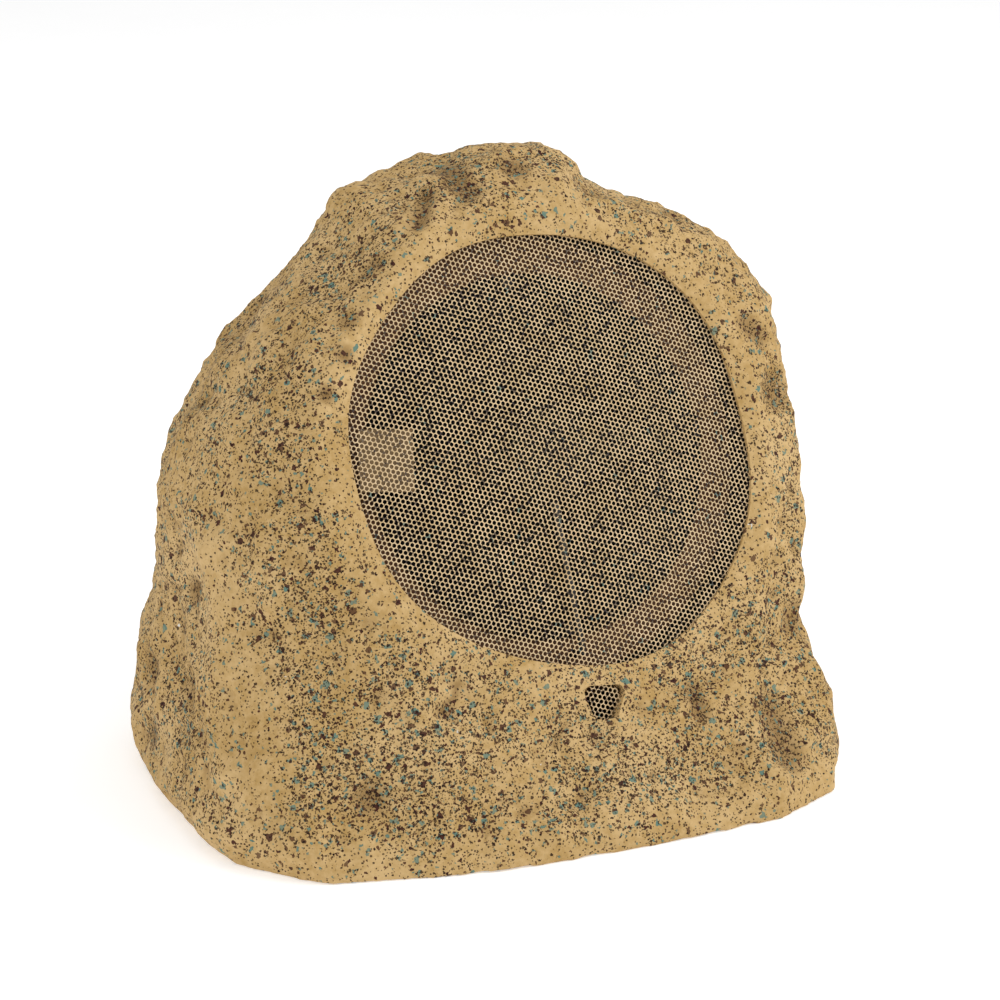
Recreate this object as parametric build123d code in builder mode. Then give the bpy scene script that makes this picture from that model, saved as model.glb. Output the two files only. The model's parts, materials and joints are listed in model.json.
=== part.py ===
from build123d import *
import os
from math import cos, pi, radians, sin, tan
from typing import NamedTuple

os.makedirs("parts", exist_ok=True)

# Boulder shell: hollow moulding with a flat leaning front, drawn at a height of 295
rock_height = 295.0
wall = 6.0
face_lean = 24.0
rock_unit = rock_height / 295
face_foot = -116 * rock_unit
foot_height = 34 * rock_unit

# Speaker axis: where it leaves the leaning front
speaker_x = 16 * rock_unit
speaker_z = 169 * rock_unit

# Grille opening, its lip and the moulded ring behind it
opening_radius = 106 * rock_unit
lip = 4.0
lip_overlap = 6.0
rebate_radius = opening_radius + lip_overlap
ring_wall = 10.0
running_gap = 0.3

# Vent under the grille
vent_gap = 7.5
vent_top = 18.0
vent_bottom = 9.0
vent_height = 16.0
vent_corner = 3.0
vent_turn = -10.0
vent_drop = opening_radius + vent_gap + vent_height / 2
tab_margin = 6.5
pad_margin = 6.0
pad_front = 1.0

# Perforated sheet
sheet = 1.0
dome_margin = 9.0
dome_radius = opening_radius - dome_margin
dome_rise = 6.0
dome_sides = 12
dome_steps = [1.0, 0.68, 0.34]
gap_pitch = 23.5
gap_across = 17.0

# Bare badge plate behind the sheet
badge_width = 28.0
badge_height = 30.0
badge_margin = 5.0
badge_left = opening_radius - badge_margin - badge_width / 2
badge_up = 8.5
badge_turn = -9.0
badge_thickness = 0.8
badge_gap = 0.1

# Foam ring and baffle board
foam_depth = 17.0
foam_width = 4.5
baffle_thickness = 12.0
baffle_step = 2.5
baffle_sides = 16
baffle_screws_count = 4
baffle_screws_turn = 45.0

# Woofer: its round pieces, hidden behind the grille, have flat sides
round_sides = 36
flange_gap = 23.0
flange_radius = rebate_radius - flange_gap
flange_thickness = 2.5
flange_border = 11.0
surround_lip = flange_radius - flange_border
surround_grip = 8.0
surround_outer = surround_lip - surround_grip
roll_width = 11.0
surround_inner = surround_outer - roll_width
basket_wall = 2.5
basket_mouth = surround_outer + basket_wall
cutout_gap = 1.0
cutout_radius = basket_mouth + cutout_gap
basket_taper = 22.5
basket_waist = basket_mouth - basket_taper
basket_depth = 30.0
shelf_width = 10.0
cup_radius = basket_waist - shelf_width
cup_depth = 10.0
window_width = 40.0
window_count = 5
roll_height = 5.0
soft_thickness = 0.8
cone_thickness = 1.2
cone_depth = 25.0
coil_radius = 13.0
coil_wall = 0.8
coil_reach = 26.0
gap_clearance = 0.6
cap_radius = 20.0
cap_rise = 5.0
plate_radius = cup_radius
plate_thickness = 5.0
magnet_overhang = 5.0
magnet_radius = plate_radius + magnet_overhang
magnet_gap = 8.0
magnet_thickness = 17.0
yoke_thickness = 5.0
woofer_screws_count = 4

# Tweeter on its bridge
bridge_width = 16.0
bridge_thickness = 2.0
bridge_clear = 1.2
tweeter_radius = 17.0
tweeter_rim = 3.5
tweeter_lip = tweeter_radius + tweeter_rim
bridge_boss = tweeter_radius + 2 * tweeter_rim
tweeter_lip_thickness = 1.6
tweeter_depth = 13.0
tweeter_dome_rise = 2.5
tweeter_dome_radius = tweeter_radius - tweeter_rim

# Base plate, its seal and the posts it is screwed to
base_thickness = 5.0
base_edge = 2.5
seal_thickness = 1.5
seal_width = 2.7
post_radius = 8.0
post_inset = 9.0
post_height = 40.0
post_edges = [1, 3, 5, 7, 9, 11]

# Crossover board on the base plate
board_length = 84.0
board_width = 56.0
board_thickness = 1.6
board_x = -20.0
board_y = 45.0
board_inset = 5.0
standoff_flats = 6.5
standoff_height = 8.0
coil_form_radius = 15.0
coil_form_height = 12.0
component_gap = 4.5
capacitor_width = 11.0
capacitor_height = 17.0
resistor_length = 24.0
resistor_side = 9.0
terminal_length = 24.0
terminal_width = 9.0
terminal_height = 11.0

# Leads from the board to the two drivers
lead_radius = 1.6
lead_sides = 8
lead_rise = 16.0
lead_hole = 2.4
lead_gap = 8.0
lead_hole_radius = flange_radius + lead_gap
lead_spacing = 14.0

# Cable gland low in the back wall
gland_x = -10.0
gland_z = 24.0
gland_pad = 13.0
gland_sink = 1.0
gland_thread = 6.0
gland_flats = 17.0
gland_hex = 5.0
gland_cap_flats = 13.0
gland_cap = 6.0
gland_bore = 3.5
gland_nut_flats = 17.0
gland_nut_thickness = 4.0

# Screws: plain shanks with flat sides
shank_sides = 8
screw_radius = 1.9
screw_hole = 2.1
screw_pilot = 2.0
screw_flats = 7.0
screw_head = 2.2
screw_sink = 3.0
screw_bite = 10.0


class Level(NamedTuple):
    """One horizontal outline of the boulder, seen from above."""

    height: float
    left: float
    front_from: float
    front_to: float
    right: float
    back: float
    toe_left: float
    toe_right: float


drawn_levels = [
    Level(0, -162, -72, 88, 146, 122, 3, 20),
    Level(14, -167, -72, 90, 150, 128, 4, 22),
    Level(34, -165, -72, 98, 155, 130, 3, 14),
    Level(66, -158, -74, 104, 150, 130, 0, 0),
    Level(100, -150, -80, 114, 158, 128, 0, 0),
    Level(145, -148, -102, 128, 167, 124, 0, 0),
    Level(180, -134, -106, 130, 167, 120, 0, 0),
    Level(215, -108, -93, 120, 162, 114, 0, 0),
    Level(240, -82, -68, 98, 148, 110, 0, 0),
    Level(260, -58, -44, 72, 118, 106, 0, 0),
    Level(274, -45, -30, 52, 76, 100, 0, 0),
    Level(287, -8, 4, 44, 66, 84, -16, -16),
    Level(295, 26, 32, 46, 56, 60, -30, -30),
]
levels = [Level(*[value * rock_unit for value in level]) for level in drawn_levels]

# Corner cuts of the outlines: depth, most depth, share of width, and how far the corner is rounded
front_left_depth = 0.33
front_left_most = 57 * rock_unit
front_left_round = 0.34
front_right_depth = 0.20
back_right_depth = 0.30
back_right_width = 0.25
back_left_depth = 0.40
back_left_most = 65 * rock_unit
back_left_width = 0.22
corner_round = 0.29
inset_front = 0.35
inset_corner = 0.75


def face_y(height):
    """Y of the leaning front face at a height."""
    return face_foot + height * tan(radians(face_lean))


def outline(level, inset=0.0, height=None):
    """Twelve corners of a level, moved in by the wall and set at a height."""
    z = level.height if height is None else height
    front = face_y(z) + inset / cos(radians(face_lean))
    front_left = front - level.toe_left
    front_right = front - level.toe_right
    left = level.left + inset
    right = level.right - inset
    back = level.back - inset
    width = level.right - level.left
    depth = level.back - face_y(level.height) + min(level.toe_left, level.toe_right, 0.0)
    left_cut = min(front_left_most, front_left_depth * depth) - inset_corner * inset
    right_cut = front_right_depth * depth - inset_corner * inset
    back_left_cut = min(back_left_most, back_left_depth * depth) - inset_corner * inset
    back_right_cut = back_right_depth * depth - inset_corner * inset
    back_left_span = back_left_width * width - inset_corner * inset
    back_right_span = back_right_width * width - inset_corner * inset
    front_from = level.front_from + inset_front * inset
    front_to = level.front_to - inset_front * inset
    points = [
        (left, front_left + left_cut),
        (left + front_left_round * (front_from - left), front_left + front_left_round * left_cut),
        (front_from, front_left),
        (front_to, front_right),
        (right + corner_round * (front_to - right), front_right + corner_round * right_cut),
        (right, front_right + right_cut),
        (right, back - back_right_cut),
        (right - corner_round * back_right_span, back - corner_round * back_right_cut),
        (right - back_right_span, back),
        (left + back_left_span, back),
        (left + corner_round * back_left_span, back - corner_round * back_left_cut),
        (left, back - back_left_cut),
    ]
    return [Vector(x, y, z) for x, y in points]


def faceted(rows):
    """Solid bounded by flat facets between stacked outlines."""
    faces = [Face(Wire.make_polygon(rows[0])), Face(Wire.make_polygon(rows[-1]))]
    for lower, upper in zip(rows, rows[1:]):
        for here in range(len(lower)):
            there = (here + 1) % len(lower)
            faces.append(Face(Wire.make_polygon([lower[here], lower[there], upper[there]])))
            faces.append(Face(Wire.make_polygon([lower[here], upper[there], upper[here]])))
    return Solid(Shell(faces))


def cavity_height(level):
    """Height of a level's inner outline: under the roof it is a wall lower."""
    return level.height - wall if level.height > foot_height + wall else level.height


# Frame of the speaker: X to the right, Y up the leaning face, Z out of it
speaker_centre = Vector(speaker_x, face_y(speaker_z), speaker_z)
outward = Vector(0, -cos(radians(face_lean)), sin(radians(face_lean)))
speaker_axis = Axis(speaker_centre, outward)
profile_plane = Plane(
    origin=speaker_centre,
    x_dir=(1, 0, 0),
    z_dir=(0, -sin(radians(face_lean)), -cos(radians(face_lean))),
)


def face_plane(depth):
    """Plane parallel to the front face, at a signed distance out of it."""
    return Plane(origin=speaker_centre + outward * depth, x_dir=(1, 0, 0), z_dir=outward)


def round_disc(depth, radius, bore=0.0):
    """Flat sided disc or ring across the speaker axis."""
    with BuildSketch(face_plane(depth)) as disc:
        RegularPolygon(radius, round_sides)
        if bore:
            RegularPolygon(bore, round_sides, mode=Mode.SUBTRACT)
    return disc.sketch


def band(inner, outer, low, high):
    """Section of a ring turned about the speaker axis."""
    with BuildSketch(profile_plane) as section:
        with BuildLine():
            Polyline((inner, low), (outer, low), (outer, high), (inner, high), close=True)
        make_face()
    return section.sketch


def round_solid(sides, *steps):
    """Solid of flat facets round the speaker axis, through steps of radius and depth."""
    turns = [2 * pi * side / sides for side in range(sides)]
    rows = []
    for reach, depth in steps:
        plane = face_plane(depth)
        rows.append([plane.from_local_coords(Vector(reach * cos(t), reach * sin(t), 0)) for t in turns])
    return faceted(rows)


def dome(depth):
    """Dome of the sheet: solid of flat facets whose foot stands at a depth."""
    steps = [(step * dome_radius, depth + dome_rise * (1 - step * step)) for step in dome_steps]
    return round_solid(dome_sides, *steps)


def base_loop(inset):
    """Outline of the underside, moved in."""
    with BuildSketch() as loop:
        with BuildLine():
            Polyline(*[(corner.X, corner.Y) for corner in outline(levels[0], inset)], close=True)
        make_face()
    return loop.sketch


def post_places():
    """Screw posts: halfway along every other side of the inset underside outline."""
    corners = outline(levels[0], post_inset)
    middles = [(corners[side] + corners[(side + 1) % len(corners)]) / 2 for side in post_edges]
    return [(middle.X, middle.Y) for middle in middles]


# Depths along the speaker axis
rim_front = -lip
rim_back = rim_front - sheet
baffle_front = rim_back - foam_depth
baffle_back = baffle_front - baffle_thickness
flange_front = baffle_front + flange_thickness
shelf_top = baffle_front - basket_depth
shelf_bottom = shelf_top - basket_wall
cup_bottom = shelf_bottom - cup_depth
plate_back = cup_bottom - plate_thickness
magnet_back = plate_back - magnet_thickness
yoke_back = magnet_back - yoke_thickness
bar_back = flange_front + roll_height + 3 * lead_radius + bridge_clear
bar_front = bar_back + bridge_thickness
cone_neck = flange_front - cone_depth
coil_outer = coil_radius + coil_wall
pole_radius = coil_radius - gap_clearance
plate_bore = coil_outer + gap_clearance
magnet_bore = coil_outer + magnet_gap
woofer_screws_radius = (surround_lip + bridge_thickness + flange_radius) / 2
grille_radius = rebate_radius - running_gap
ring_radius = rebate_radius + ring_wall
baffle_screws_radius = rebate_radius + ring_wall / 2
tab_width = vent_top + 2 * tab_margin
tab_low = vent_drop + vent_height / 2 + tab_margin
seat_height = base_thickness + seal_thickness
board_bottom = base_thickness + standoff_height
board_top = board_bottom + board_thickness
board_left = board_x - board_length / 2 + board_inset
resistor_x = board_left + 2 * coil_form_radius + component_gap + resistor_side / 2
capacitor_left = resistor_x + resistor_side / 2 + component_gap
capacitor_length = board_x + board_length / 2 - board_inset - capacitor_left
gland_seat = levels[1].back - gland_sink
board_grid = GridLocations(board_length - 2 * board_inset, board_width - 2 * board_inset, 2, 2)
board_places = [Vector(board_x, board_y) + place.position for place in board_grid.locations]

outer_rows = [outline(level) for level in levels]
inner_rows = [outline(level, wall, cavity_height(level)) for level in levels]
boulder = faceted(outer_rows)
hollow = faceted(inner_rows)

with BuildSketch(face_plane(0)) as vent:
    with Locations((0, -vent_drop)):
        Polygon(
            (-vent_top / 2, vent_height / 2),
            (-vent_bottom / 2, -vent_height / 2),
            (vent_bottom / 2, -vent_height / 2),
            (vent_top / 2, vent_height / 2),
            rotation=vent_turn,
        )
    fillet(vent.vertices(), vent_corner)

with BuildPart() as rock_shell:
    add(boulder)
    add(hollow, mode=Mode.SUBTRACT)
    revolve(band(rebate_radius, ring_radius, baffle_front, rim_front + pad_front), axis=speaker_axis)
    with BuildSketch(face_plane(-pad_front)):
        with Locations((0, -tab_low / 2 - vent_drop / 2)):
            Rectangle(tab_width + 2 * pad_margin, tab_low - vent_drop + vent_height + 4 * pad_margin)
    extrude(amount=pad_front - lip - wall)
    with BuildSketch(Plane.XY.offset(seat_height)):
        with Locations(*post_places()):
            RegularPolygon(post_radius, shank_sides)
    extrude(amount=post_height - seat_height)
    with BuildSketch(Plane.XZ.offset(-gland_seat)):
        with Locations((gland_x, gland_z)):
            Circle(gland_pad)
    extrude(amount=wall)
    add(boulder, mode=Mode.INTERSECT)
    rebate = band(0, rebate_radius, baffle_front - ring_wall, rim_front)
    revolve(rebate, axis=speaker_axis, mode=Mode.SUBTRACT)
    revolve(band(0, opening_radius, baffle_front, lip), axis=speaker_axis, mode=Mode.SUBTRACT)
    extrude(vent.sketch, amount=lip + wall, both=True, mode=Mode.SUBTRACT)
    with BuildSketch(face_plane(rim_front)):
        with Locations((0, -tab_low / 2)):
            Rectangle(tab_width + 2 * running_gap, tab_low + 2 * running_gap)
    extrude(amount=baffle_front - ring_wall, mode=Mode.SUBTRACT)
    with BuildSketch(face_plane(baffle_front)):
        with PolarLocations(baffle_screws_radius, baffle_screws_count, baffle_screws_turn):
            RegularPolygon(screw_pilot, shank_sides)
    extrude(amount=screw_bite, mode=Mode.SUBTRACT)
    extrude(base_loop(base_edge), amount=seat_height, mode=Mode.SUBTRACT)
    with BuildSketch(Plane.XY.offset(seat_height)):
        with Locations(*post_places()):
            RegularPolygon(screw_pilot, shank_sides)
    extrude(amount=screw_bite, mode=Mode.SUBTRACT)
    with BuildSketch(Plane.XZ.offset(-gland_seat)):
        with Locations((gland_x, gland_z)):
            Circle(gland_pad)
    extrude(amount=-gland_pad, mode=Mode.SUBTRACT)
    with BuildSketch(Plane.XZ.offset(-gland_seat)):
        with Locations((gland_x, gland_z)):
            Circle(gland_thread + running_gap)
    extrude(amount=2 * wall, mode=Mode.SUBTRACT)
rock_shell.part.label = "rock_shell"

gap_count = 2 * int(dome_radius / gap_pitch) + 3
gap_reach = dome_radius - gap_across / 2
gap_places = [
    place.position
    for place in HexLocations(gap_pitch / 2, gap_count, gap_count).locations
    if place.position.length < gap_reach
]
with BuildPart() as grille:
    with BuildSketch(face_plane(rim_back)):
        Circle(grille_radius)
        with Locations((0, -tab_low / 2)):
            Rectangle(tab_width, tab_low)
    extrude(amount=sheet)
    add(dome(rim_front))
    add(dome(rim_back), mode=Mode.SUBTRACT)
    with BuildSketch(face_plane(rim_back)):
        with Locations(*gap_places):
            RegularPolygon(gap_across / 2, 6, rotation=30)
    extrude(amount=2 * dome_rise, mode=Mode.SUBTRACT)
grille.part.label = "grille"

with BuildPart() as badge_plate:
    with BuildSketch(face_plane(rim_back - badge_gap)):
        with Locations(Location((-badge_left, badge_up), badge_turn)):
            Rectangle(badge_width, badge_height)
    extrude(amount=-badge_thickness)
badge_plate.part.label = "badge_plate"

with BuildPart() as grille_gasket:
    extrude(round_disc(baffle_front, grille_radius, grille_radius - foam_width), amount=foam_depth)
grille_gasket.part.label = "grille_gasket"

with BuildPart() as baffle:
    with BuildSketch(face_plane(baffle_back)):
        RegularPolygon(ring_radius - baffle_step, baffle_sides)
        Circle(cutout_radius, mode=Mode.SUBTRACT)
        with PolarLocations(baffle_screws_radius, baffle_screws_count, baffle_screws_turn):
            RegularPolygon(screw_hole, shank_sides, mode=Mode.SUBTRACT)
        with PolarLocations(woofer_screws_radius, woofer_screws_count):
            RegularPolygon(screw_pilot, shank_sides, mode=Mode.SUBTRACT)
        with Locations((0, -lead_hole_radius)):
            RegularPolygon(lead_hole, shank_sides, mode=Mode.SUBTRACT)
    extrude(amount=baffle_thickness)
baffle.part.label = "baffle"

with BuildPart() as baffle_screws:
    with BuildSketch(face_plane(baffle_back)):
        with PolarLocations(baffle_screws_radius, baffle_screws_count, baffle_screws_turn):
            RegularPolygon(screw_flats / 2, 6, major_radius=False)
    extrude(amount=-screw_head)
    with BuildSketch(face_plane(baffle_back)):
        with PolarLocations(baffle_screws_radius, baffle_screws_count, baffle_screws_turn):
            RegularPolygon(screw_radius, shank_sides)
    extrude(amount=baffle_thickness + screw_bite - running_gap)
baffle_screws.part.label = "baffle_screws"

with BuildPart() as woofer_basket:
    add(round_solid(round_sides, (basket_waist, shelf_bottom), (basket_mouth, baffle_front)))
    extrude(round_disc(baffle_front, flange_radius), amount=flange_thickness)
    extrude(round_disc(cup_bottom, cup_radius), amount=cup_depth)
    basket_floor = (basket_waist - basket_wall, shelf_top)
    add(round_solid(round_sides, basket_floor, (surround_outer, baffle_front)), mode=Mode.SUBTRACT)
    extrude(round_disc(baffle_front, surround_outer), amount=flange_thickness, mode=Mode.SUBTRACT)
    inner_cup = round_disc(cup_bottom + basket_wall, cup_radius - basket_wall)
    extrude(inner_cup, amount=cup_depth, mode=Mode.SUBTRACT)
    extrude(round_disc(cup_bottom, plate_bore), amount=basket_wall, mode=Mode.SUBTRACT)
    with BuildSketch(face_plane(baffle_front - basket_wall)):
        with PolarLocations((basket_waist + basket_mouth) / 2, window_count, 90):
            Rectangle((basket_mouth - basket_waist) / 2, window_width)
    extrude(amount=basket_wall - basket_depth, mode=Mode.SUBTRACT)
    with BuildSketch(face_plane(baffle_front)):
        with PolarLocations(woofer_screws_radius, woofer_screws_count):
            RegularPolygon(screw_hole, shank_sides)
    extrude(amount=flange_thickness, mode=Mode.SUBTRACT)
woofer_basket.part.label = "woofer_basket"

with BuildPart() as surround:
    extrude(round_disc(flange_front, surround_lip), amount=soft_thickness)
    roll_top = (surround_outer - roll_height / 2, flange_front + roll_height)
    add(round_solid(round_sides, (surround_outer, flange_front), roll_top))
    extrude(round_disc(flange_front, surround_inner), amount=roll_height, mode=Mode.SUBTRACT)
surround.part.label = "surround"

with BuildPart() as cone:
    add(round_solid(round_sides, (coil_outer + cone_thickness, cone_neck), (surround_inner, flange_front)))
    cone_mouth = (surround_inner - cone_thickness, flange_front)
    add(round_solid(round_sides, (coil_outer, cone_neck), cone_mouth), mode=Mode.SUBTRACT)
cone.part.label = "cone"

cone_slope = cone_depth / (surround_inner - cone_thickness - coil_outer)
cap_seat = cone_neck + (cap_radius - coil_outer) * cone_slope
with BuildPart() as dust_cap:
    add(round_solid(round_sides, (cap_radius, cap_seat), (cap_radius / 2, cap_seat + cap_rise)))
dust_cap.part.label = "dust_cap"

with BuildPart() as voice_coil:
    extrude(round_disc(cone_neck - coil_reach, coil_outer, coil_radius), amount=coil_reach)
voice_coil.part.label = "voice_coil"

with BuildPart() as spider:
    extrude(round_disc(shelf_top, basket_waist - basket_wall, coil_outer), amount=soft_thickness)
spider.part.label = "spider"

with BuildPart() as top_plate:
    extrude(round_disc(plate_back, plate_radius, plate_bore), amount=plate_thickness)
top_plate.part.label = "top_plate"

with BuildPart() as magnet:
    extrude(round_disc(magnet_back, magnet_radius, magnet_bore), amount=magnet_thickness)
magnet.part.label = "magnet"

with BuildPart() as pole_yoke:
    extrude(round_disc(yoke_back, plate_radius), amount=yoke_thickness)
    extrude(round_disc(magnet_back, pole_radius), amount=magnet_thickness + plate_thickness)
pole_yoke.part.label = "pole_yoke"

with BuildPart() as tweeter_bridge:
    with BuildSketch(profile_plane):
        with BuildLine():
            Polyline(
                (flange_radius, flange_front),
                (flange_radius, flange_front + bridge_thickness),
                (surround_lip + bridge_thickness, flange_front + bridge_thickness),
                (surround_lip + bridge_thickness, bar_front),
                (-surround_lip - bridge_thickness, bar_front),
                (-surround_lip - bridge_thickness, flange_front + bridge_thickness),
                (-flange_radius, flange_front + bridge_thickness),
                (-flange_radius, flange_front),
                (-surround_lip, flange_front),
                (-surround_lip, bar_back),
                (surround_lip, bar_back),
                (surround_lip, flange_front),
                close=True,
            )
        make_face()
    extrude(amount=bridge_width / 2, both=True)
    extrude(round_disc(bar_back, bridge_boss), amount=bridge_thickness)
    extrude(round_disc(bar_back, tweeter_radius + running_gap), amount=bridge_thickness, mode=Mode.SUBTRACT)
    with BuildSketch(face_plane(flange_front)):
        with PolarLocations(woofer_screws_radius, 2):
            RegularPolygon(screw_hole, shank_sides)
    extrude(amount=bridge_thickness, mode=Mode.SUBTRACT)
tweeter_bridge.part.label = "tweeter_bridge"

with BuildPart() as woofer_screws:
    heads = [flange_front + bridge_thickness, flange_front]
    for turn in range(woofer_screws_count):
        head = heads[turn % 2]
        with BuildSketch(face_plane(head)):
            with PolarLocations(woofer_screws_radius, 1, 360 / woofer_screws_count * turn):
                RegularPolygon(screw_flats / 2, 6, major_radius=False)
        extrude(amount=screw_head)
        with BuildSketch(face_plane(head)):
            with PolarLocations(woofer_screws_radius, 1, 360 / woofer_screws_count * turn):
                RegularPolygon(screw_radius, shank_sides)
        extrude(amount=baffle_back - head + running_gap)
woofer_screws.part.label = "woofer_screws"

with BuildPart() as tweeter_body:
    extrude(round_disc(bar_front, tweeter_radius), amount=-tweeter_depth)
    extrude(round_disc(bar_front, tweeter_lip), amount=tweeter_lip_thickness)
tweeter_body.part.label = "tweeter_body"

dome_seat = bar_front + tweeter_lip_thickness
with BuildPart() as tweeter_dome:
    dome_top = dome_seat + tweeter_dome_rise
    add(round_solid(round_sides, (tweeter_dome_radius, dome_seat), (tweeter_dome_radius / 2, dome_top)))
tweeter_dome.part.label = "tweeter_dome"

with BuildPart() as base_plate:
    extrude(base_loop(base_edge + running_gap), amount=base_thickness)
    with BuildSketch(Plane.XY.offset(base_thickness)):
        with Locations(*board_places):
            RegularPolygon(standoff_flats / 2, 6, major_radius=False)
    extrude(amount=standoff_height)
    with BuildSketch():
        with Locations(*post_places()):
            RegularPolygon(screw_flats / 2 + running_gap, 6, major_radius=False)
    extrude(amount=screw_sink, mode=Mode.SUBTRACT)
    with BuildSketch():
        with Locations(*post_places()):
            RegularPolygon(screw_hole, shank_sides)
    extrude(amount=base_thickness, mode=Mode.SUBTRACT)
base_plate.part.label = "base_plate"

with BuildPart() as base_gasket:
    with BuildSketch(Plane.XY.offset(base_thickness)):
        add(base_loop(base_edge + running_gap))
        add(base_loop(base_edge + seal_width), mode=Mode.SUBTRACT)
    extrude(amount=seal_thickness)
base_gasket.part.label = "base_gasket"

with BuildPart() as base_screws:
    with BuildSketch(Plane.XY.offset(screw_sink - screw_head)):
        with Locations(*post_places()):
            RegularPolygon(screw_flats / 2, 6, major_radius=False)
    extrude(amount=screw_head)
    with BuildSketch(Plane.XY.offset(screw_sink)):
        with Locations(*post_places()):
            RegularPolygon(screw_radius, shank_sides)
    extrude(amount=seat_height + screw_bite - screw_sink)
base_screws.part.label = "base_screws"

with BuildPart() as crossover_board:
    with BuildSketch(Plane.XY.offset(board_bottom)):
        with Locations((board_x, board_y)):
            Rectangle(board_length, board_width)
    extrude(amount=board_thickness)
crossover_board.part.label = "crossover_board"

with BuildPart() as inductor:
    with BuildSketch(Plane.XY.offset(board_top)):
        with Locations((board_left + coil_form_radius, board_y - board_inset)):
            RegularPolygon(coil_form_radius, round_sides)
            RegularPolygon(coil_form_radius / 3, round_sides, mode=Mode.SUBTRACT)
    extrude(amount=coil_form_height)
inductor.part.label = "inductor"

with BuildPart() as capacitors:
    with Locations((capacitor_left + capacitor_length / 2, board_y, board_top)):
        with GridLocations(0, 2 * capacitor_width, 1, 2):
            Box(
                capacitor_length,
                capacitor_width,
                capacitor_height,
                align=(Align.CENTER, Align.CENTER, Align.MIN),
            )
capacitors.part.label = "capacitors"

with BuildPart() as resistor:
    with Locations((resistor_x, board_y, board_top)):
        Box(
            resistor_side,
            resistor_length,
            resistor_side,
            align=(Align.CENTER, Align.CENTER, Align.MIN),
        )
resistor.part.label = "resistor"

terminal_x = board_left + terminal_length / 2
terminal_y = board_y + board_width / 2 - terminal_width
with BuildPart() as terminal_block:
    with Locations((terminal_x, terminal_y, board_top)):
        Box(
            terminal_length,
            terminal_width,
            terminal_height,
            align=(Align.CENTER, Align.CENTER, Align.MIN),
        )
terminal_block.part.label = "terminal_block"

lead_y = board_y - board_width / 2 + board_inset
lead_top = board_top + lead_rise
shelf_middle = (basket_waist + cup_radius) / 2 - basket_wall
with BuildPart() as woofer_lead:
    with BuildLine():
        Polyline(
            (board_x + 2 * lead_spacing, lead_y, board_top),
            (board_x + 2 * lead_spacing, lead_y, lead_top),
            face_plane(shelf_bottom - 2 * lead_rise).from_local_coords((0, -magnet_radius - lead_rise, 0)),
            face_plane(shelf_bottom - lead_rise / 2).from_local_coords((0, -shelf_middle, 0)),
            face_plane(shelf_bottom).from_local_coords((0, -shelf_middle, 0)),
        )
    with BuildSketch(Plane.XY.offset(board_top)):
        with Locations((board_x + 2 * lead_spacing, lead_y)):
            RegularPolygon(lead_radius, lead_sides)
    sweep(transition=Transition.RIGHT)
woofer_lead.part.label = "woofer_lead"

lead_front = bar_back - 2 * lead_radius
with BuildPart() as tweeter_lead:
    with BuildLine():
        Polyline(
            (board_x + lead_spacing, lead_y, board_top),
            (board_x + lead_spacing, lead_y, lead_top),
            face_plane(baffle_back - lead_rise).from_local_coords((0, -lead_hole_radius, 0)),
            face_plane(lead_front).from_local_coords((0, -lead_hole_radius, 0)),
            face_plane(lead_front).from_local_coords((0, -tweeter_radius, 0)),
        )
    with BuildSketch(Plane.XY.offset(board_top)):
        with Locations((board_x + lead_spacing, lead_y)):
            RegularPolygon(lead_radius, lead_sides)
    sweep(transition=Transition.RIGHT)
tweeter_lead.part.label = "tweeter_lead"

with BuildPart() as cable_gland:
    with BuildSketch(Plane.XZ.offset(-gland_seat)):
        with Locations((gland_x, gland_z)):
            RegularPolygon(gland_flats / 2, 6, major_radius=False)
    extrude(amount=-gland_hex)
    with BuildSketch(Plane.XZ.offset(-gland_seat - gland_hex)):
        with Locations((gland_x, gland_z)):
            RegularPolygon(gland_cap_flats / 2, 6, major_radius=False)
    extrude(amount=-gland_cap)
    with BuildSketch(Plane.XZ.offset(-gland_seat)):
        with Locations((gland_x, gland_z)):
            Circle(gland_thread)
    extrude(amount=wall + 2 * gland_nut_thickness)
    with BuildSketch(Plane.XZ.offset(-gland_seat)):
        with Locations((gland_x, gland_z)):
            Circle(gland_bore)
    extrude(amount=wall + 2 * gland_nut_thickness, both=True, mode=Mode.SUBTRACT)
cable_gland.part.label = "cable_gland"

with BuildPart() as gland_nut:
    with BuildSketch(Plane.XZ.offset(wall - gland_seat)):
        with Locations((gland_x, gland_z)):
            RegularPolygon(gland_nut_flats / 2, 6, major_radius=False)
            Circle(gland_thread + running_gap, mode=Mode.SUBTRACT)
    extrude(amount=gland_nut_thickness)
gland_nut.part.label = "gland_nut"

pieces = [
    rock_shell,
    grille,
    badge_plate,
    grille_gasket,
    baffle,
    baffle_screws,
    woofer_basket,
    surround,
    cone,
    dust_cap,
    voice_coil,
    spider,
    top_plate,
    magnet,
    pole_yoke,
    tweeter_bridge,
    woofer_screws,
    tweeter_body,
    tweeter_dome,
    base_plate,
    base_gasket,
    base_screws,
    crossover_board,
    inductor,
    capacitors,
    resistor,
    terminal_block,
    woofer_lead,
    tweeter_lead,
    cable_gland,
    gland_nut,
]
for piece in pieces:
    export_step(piece.part, f"parts/{piece.part.label}.step")
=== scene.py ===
"""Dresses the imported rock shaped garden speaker: weathered boulder, perforated grille and inner finishes."""

import json
import logging
import math
from collections.abc import Iterable, Iterator
from contextlib import contextmanager
from dataclasses import dataclass
from enum import Enum, IntEnum

import bpy
import numpy as np
from mathutils import Matrix, Vector
from mathutils.bvhtree import BVHTree


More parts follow.
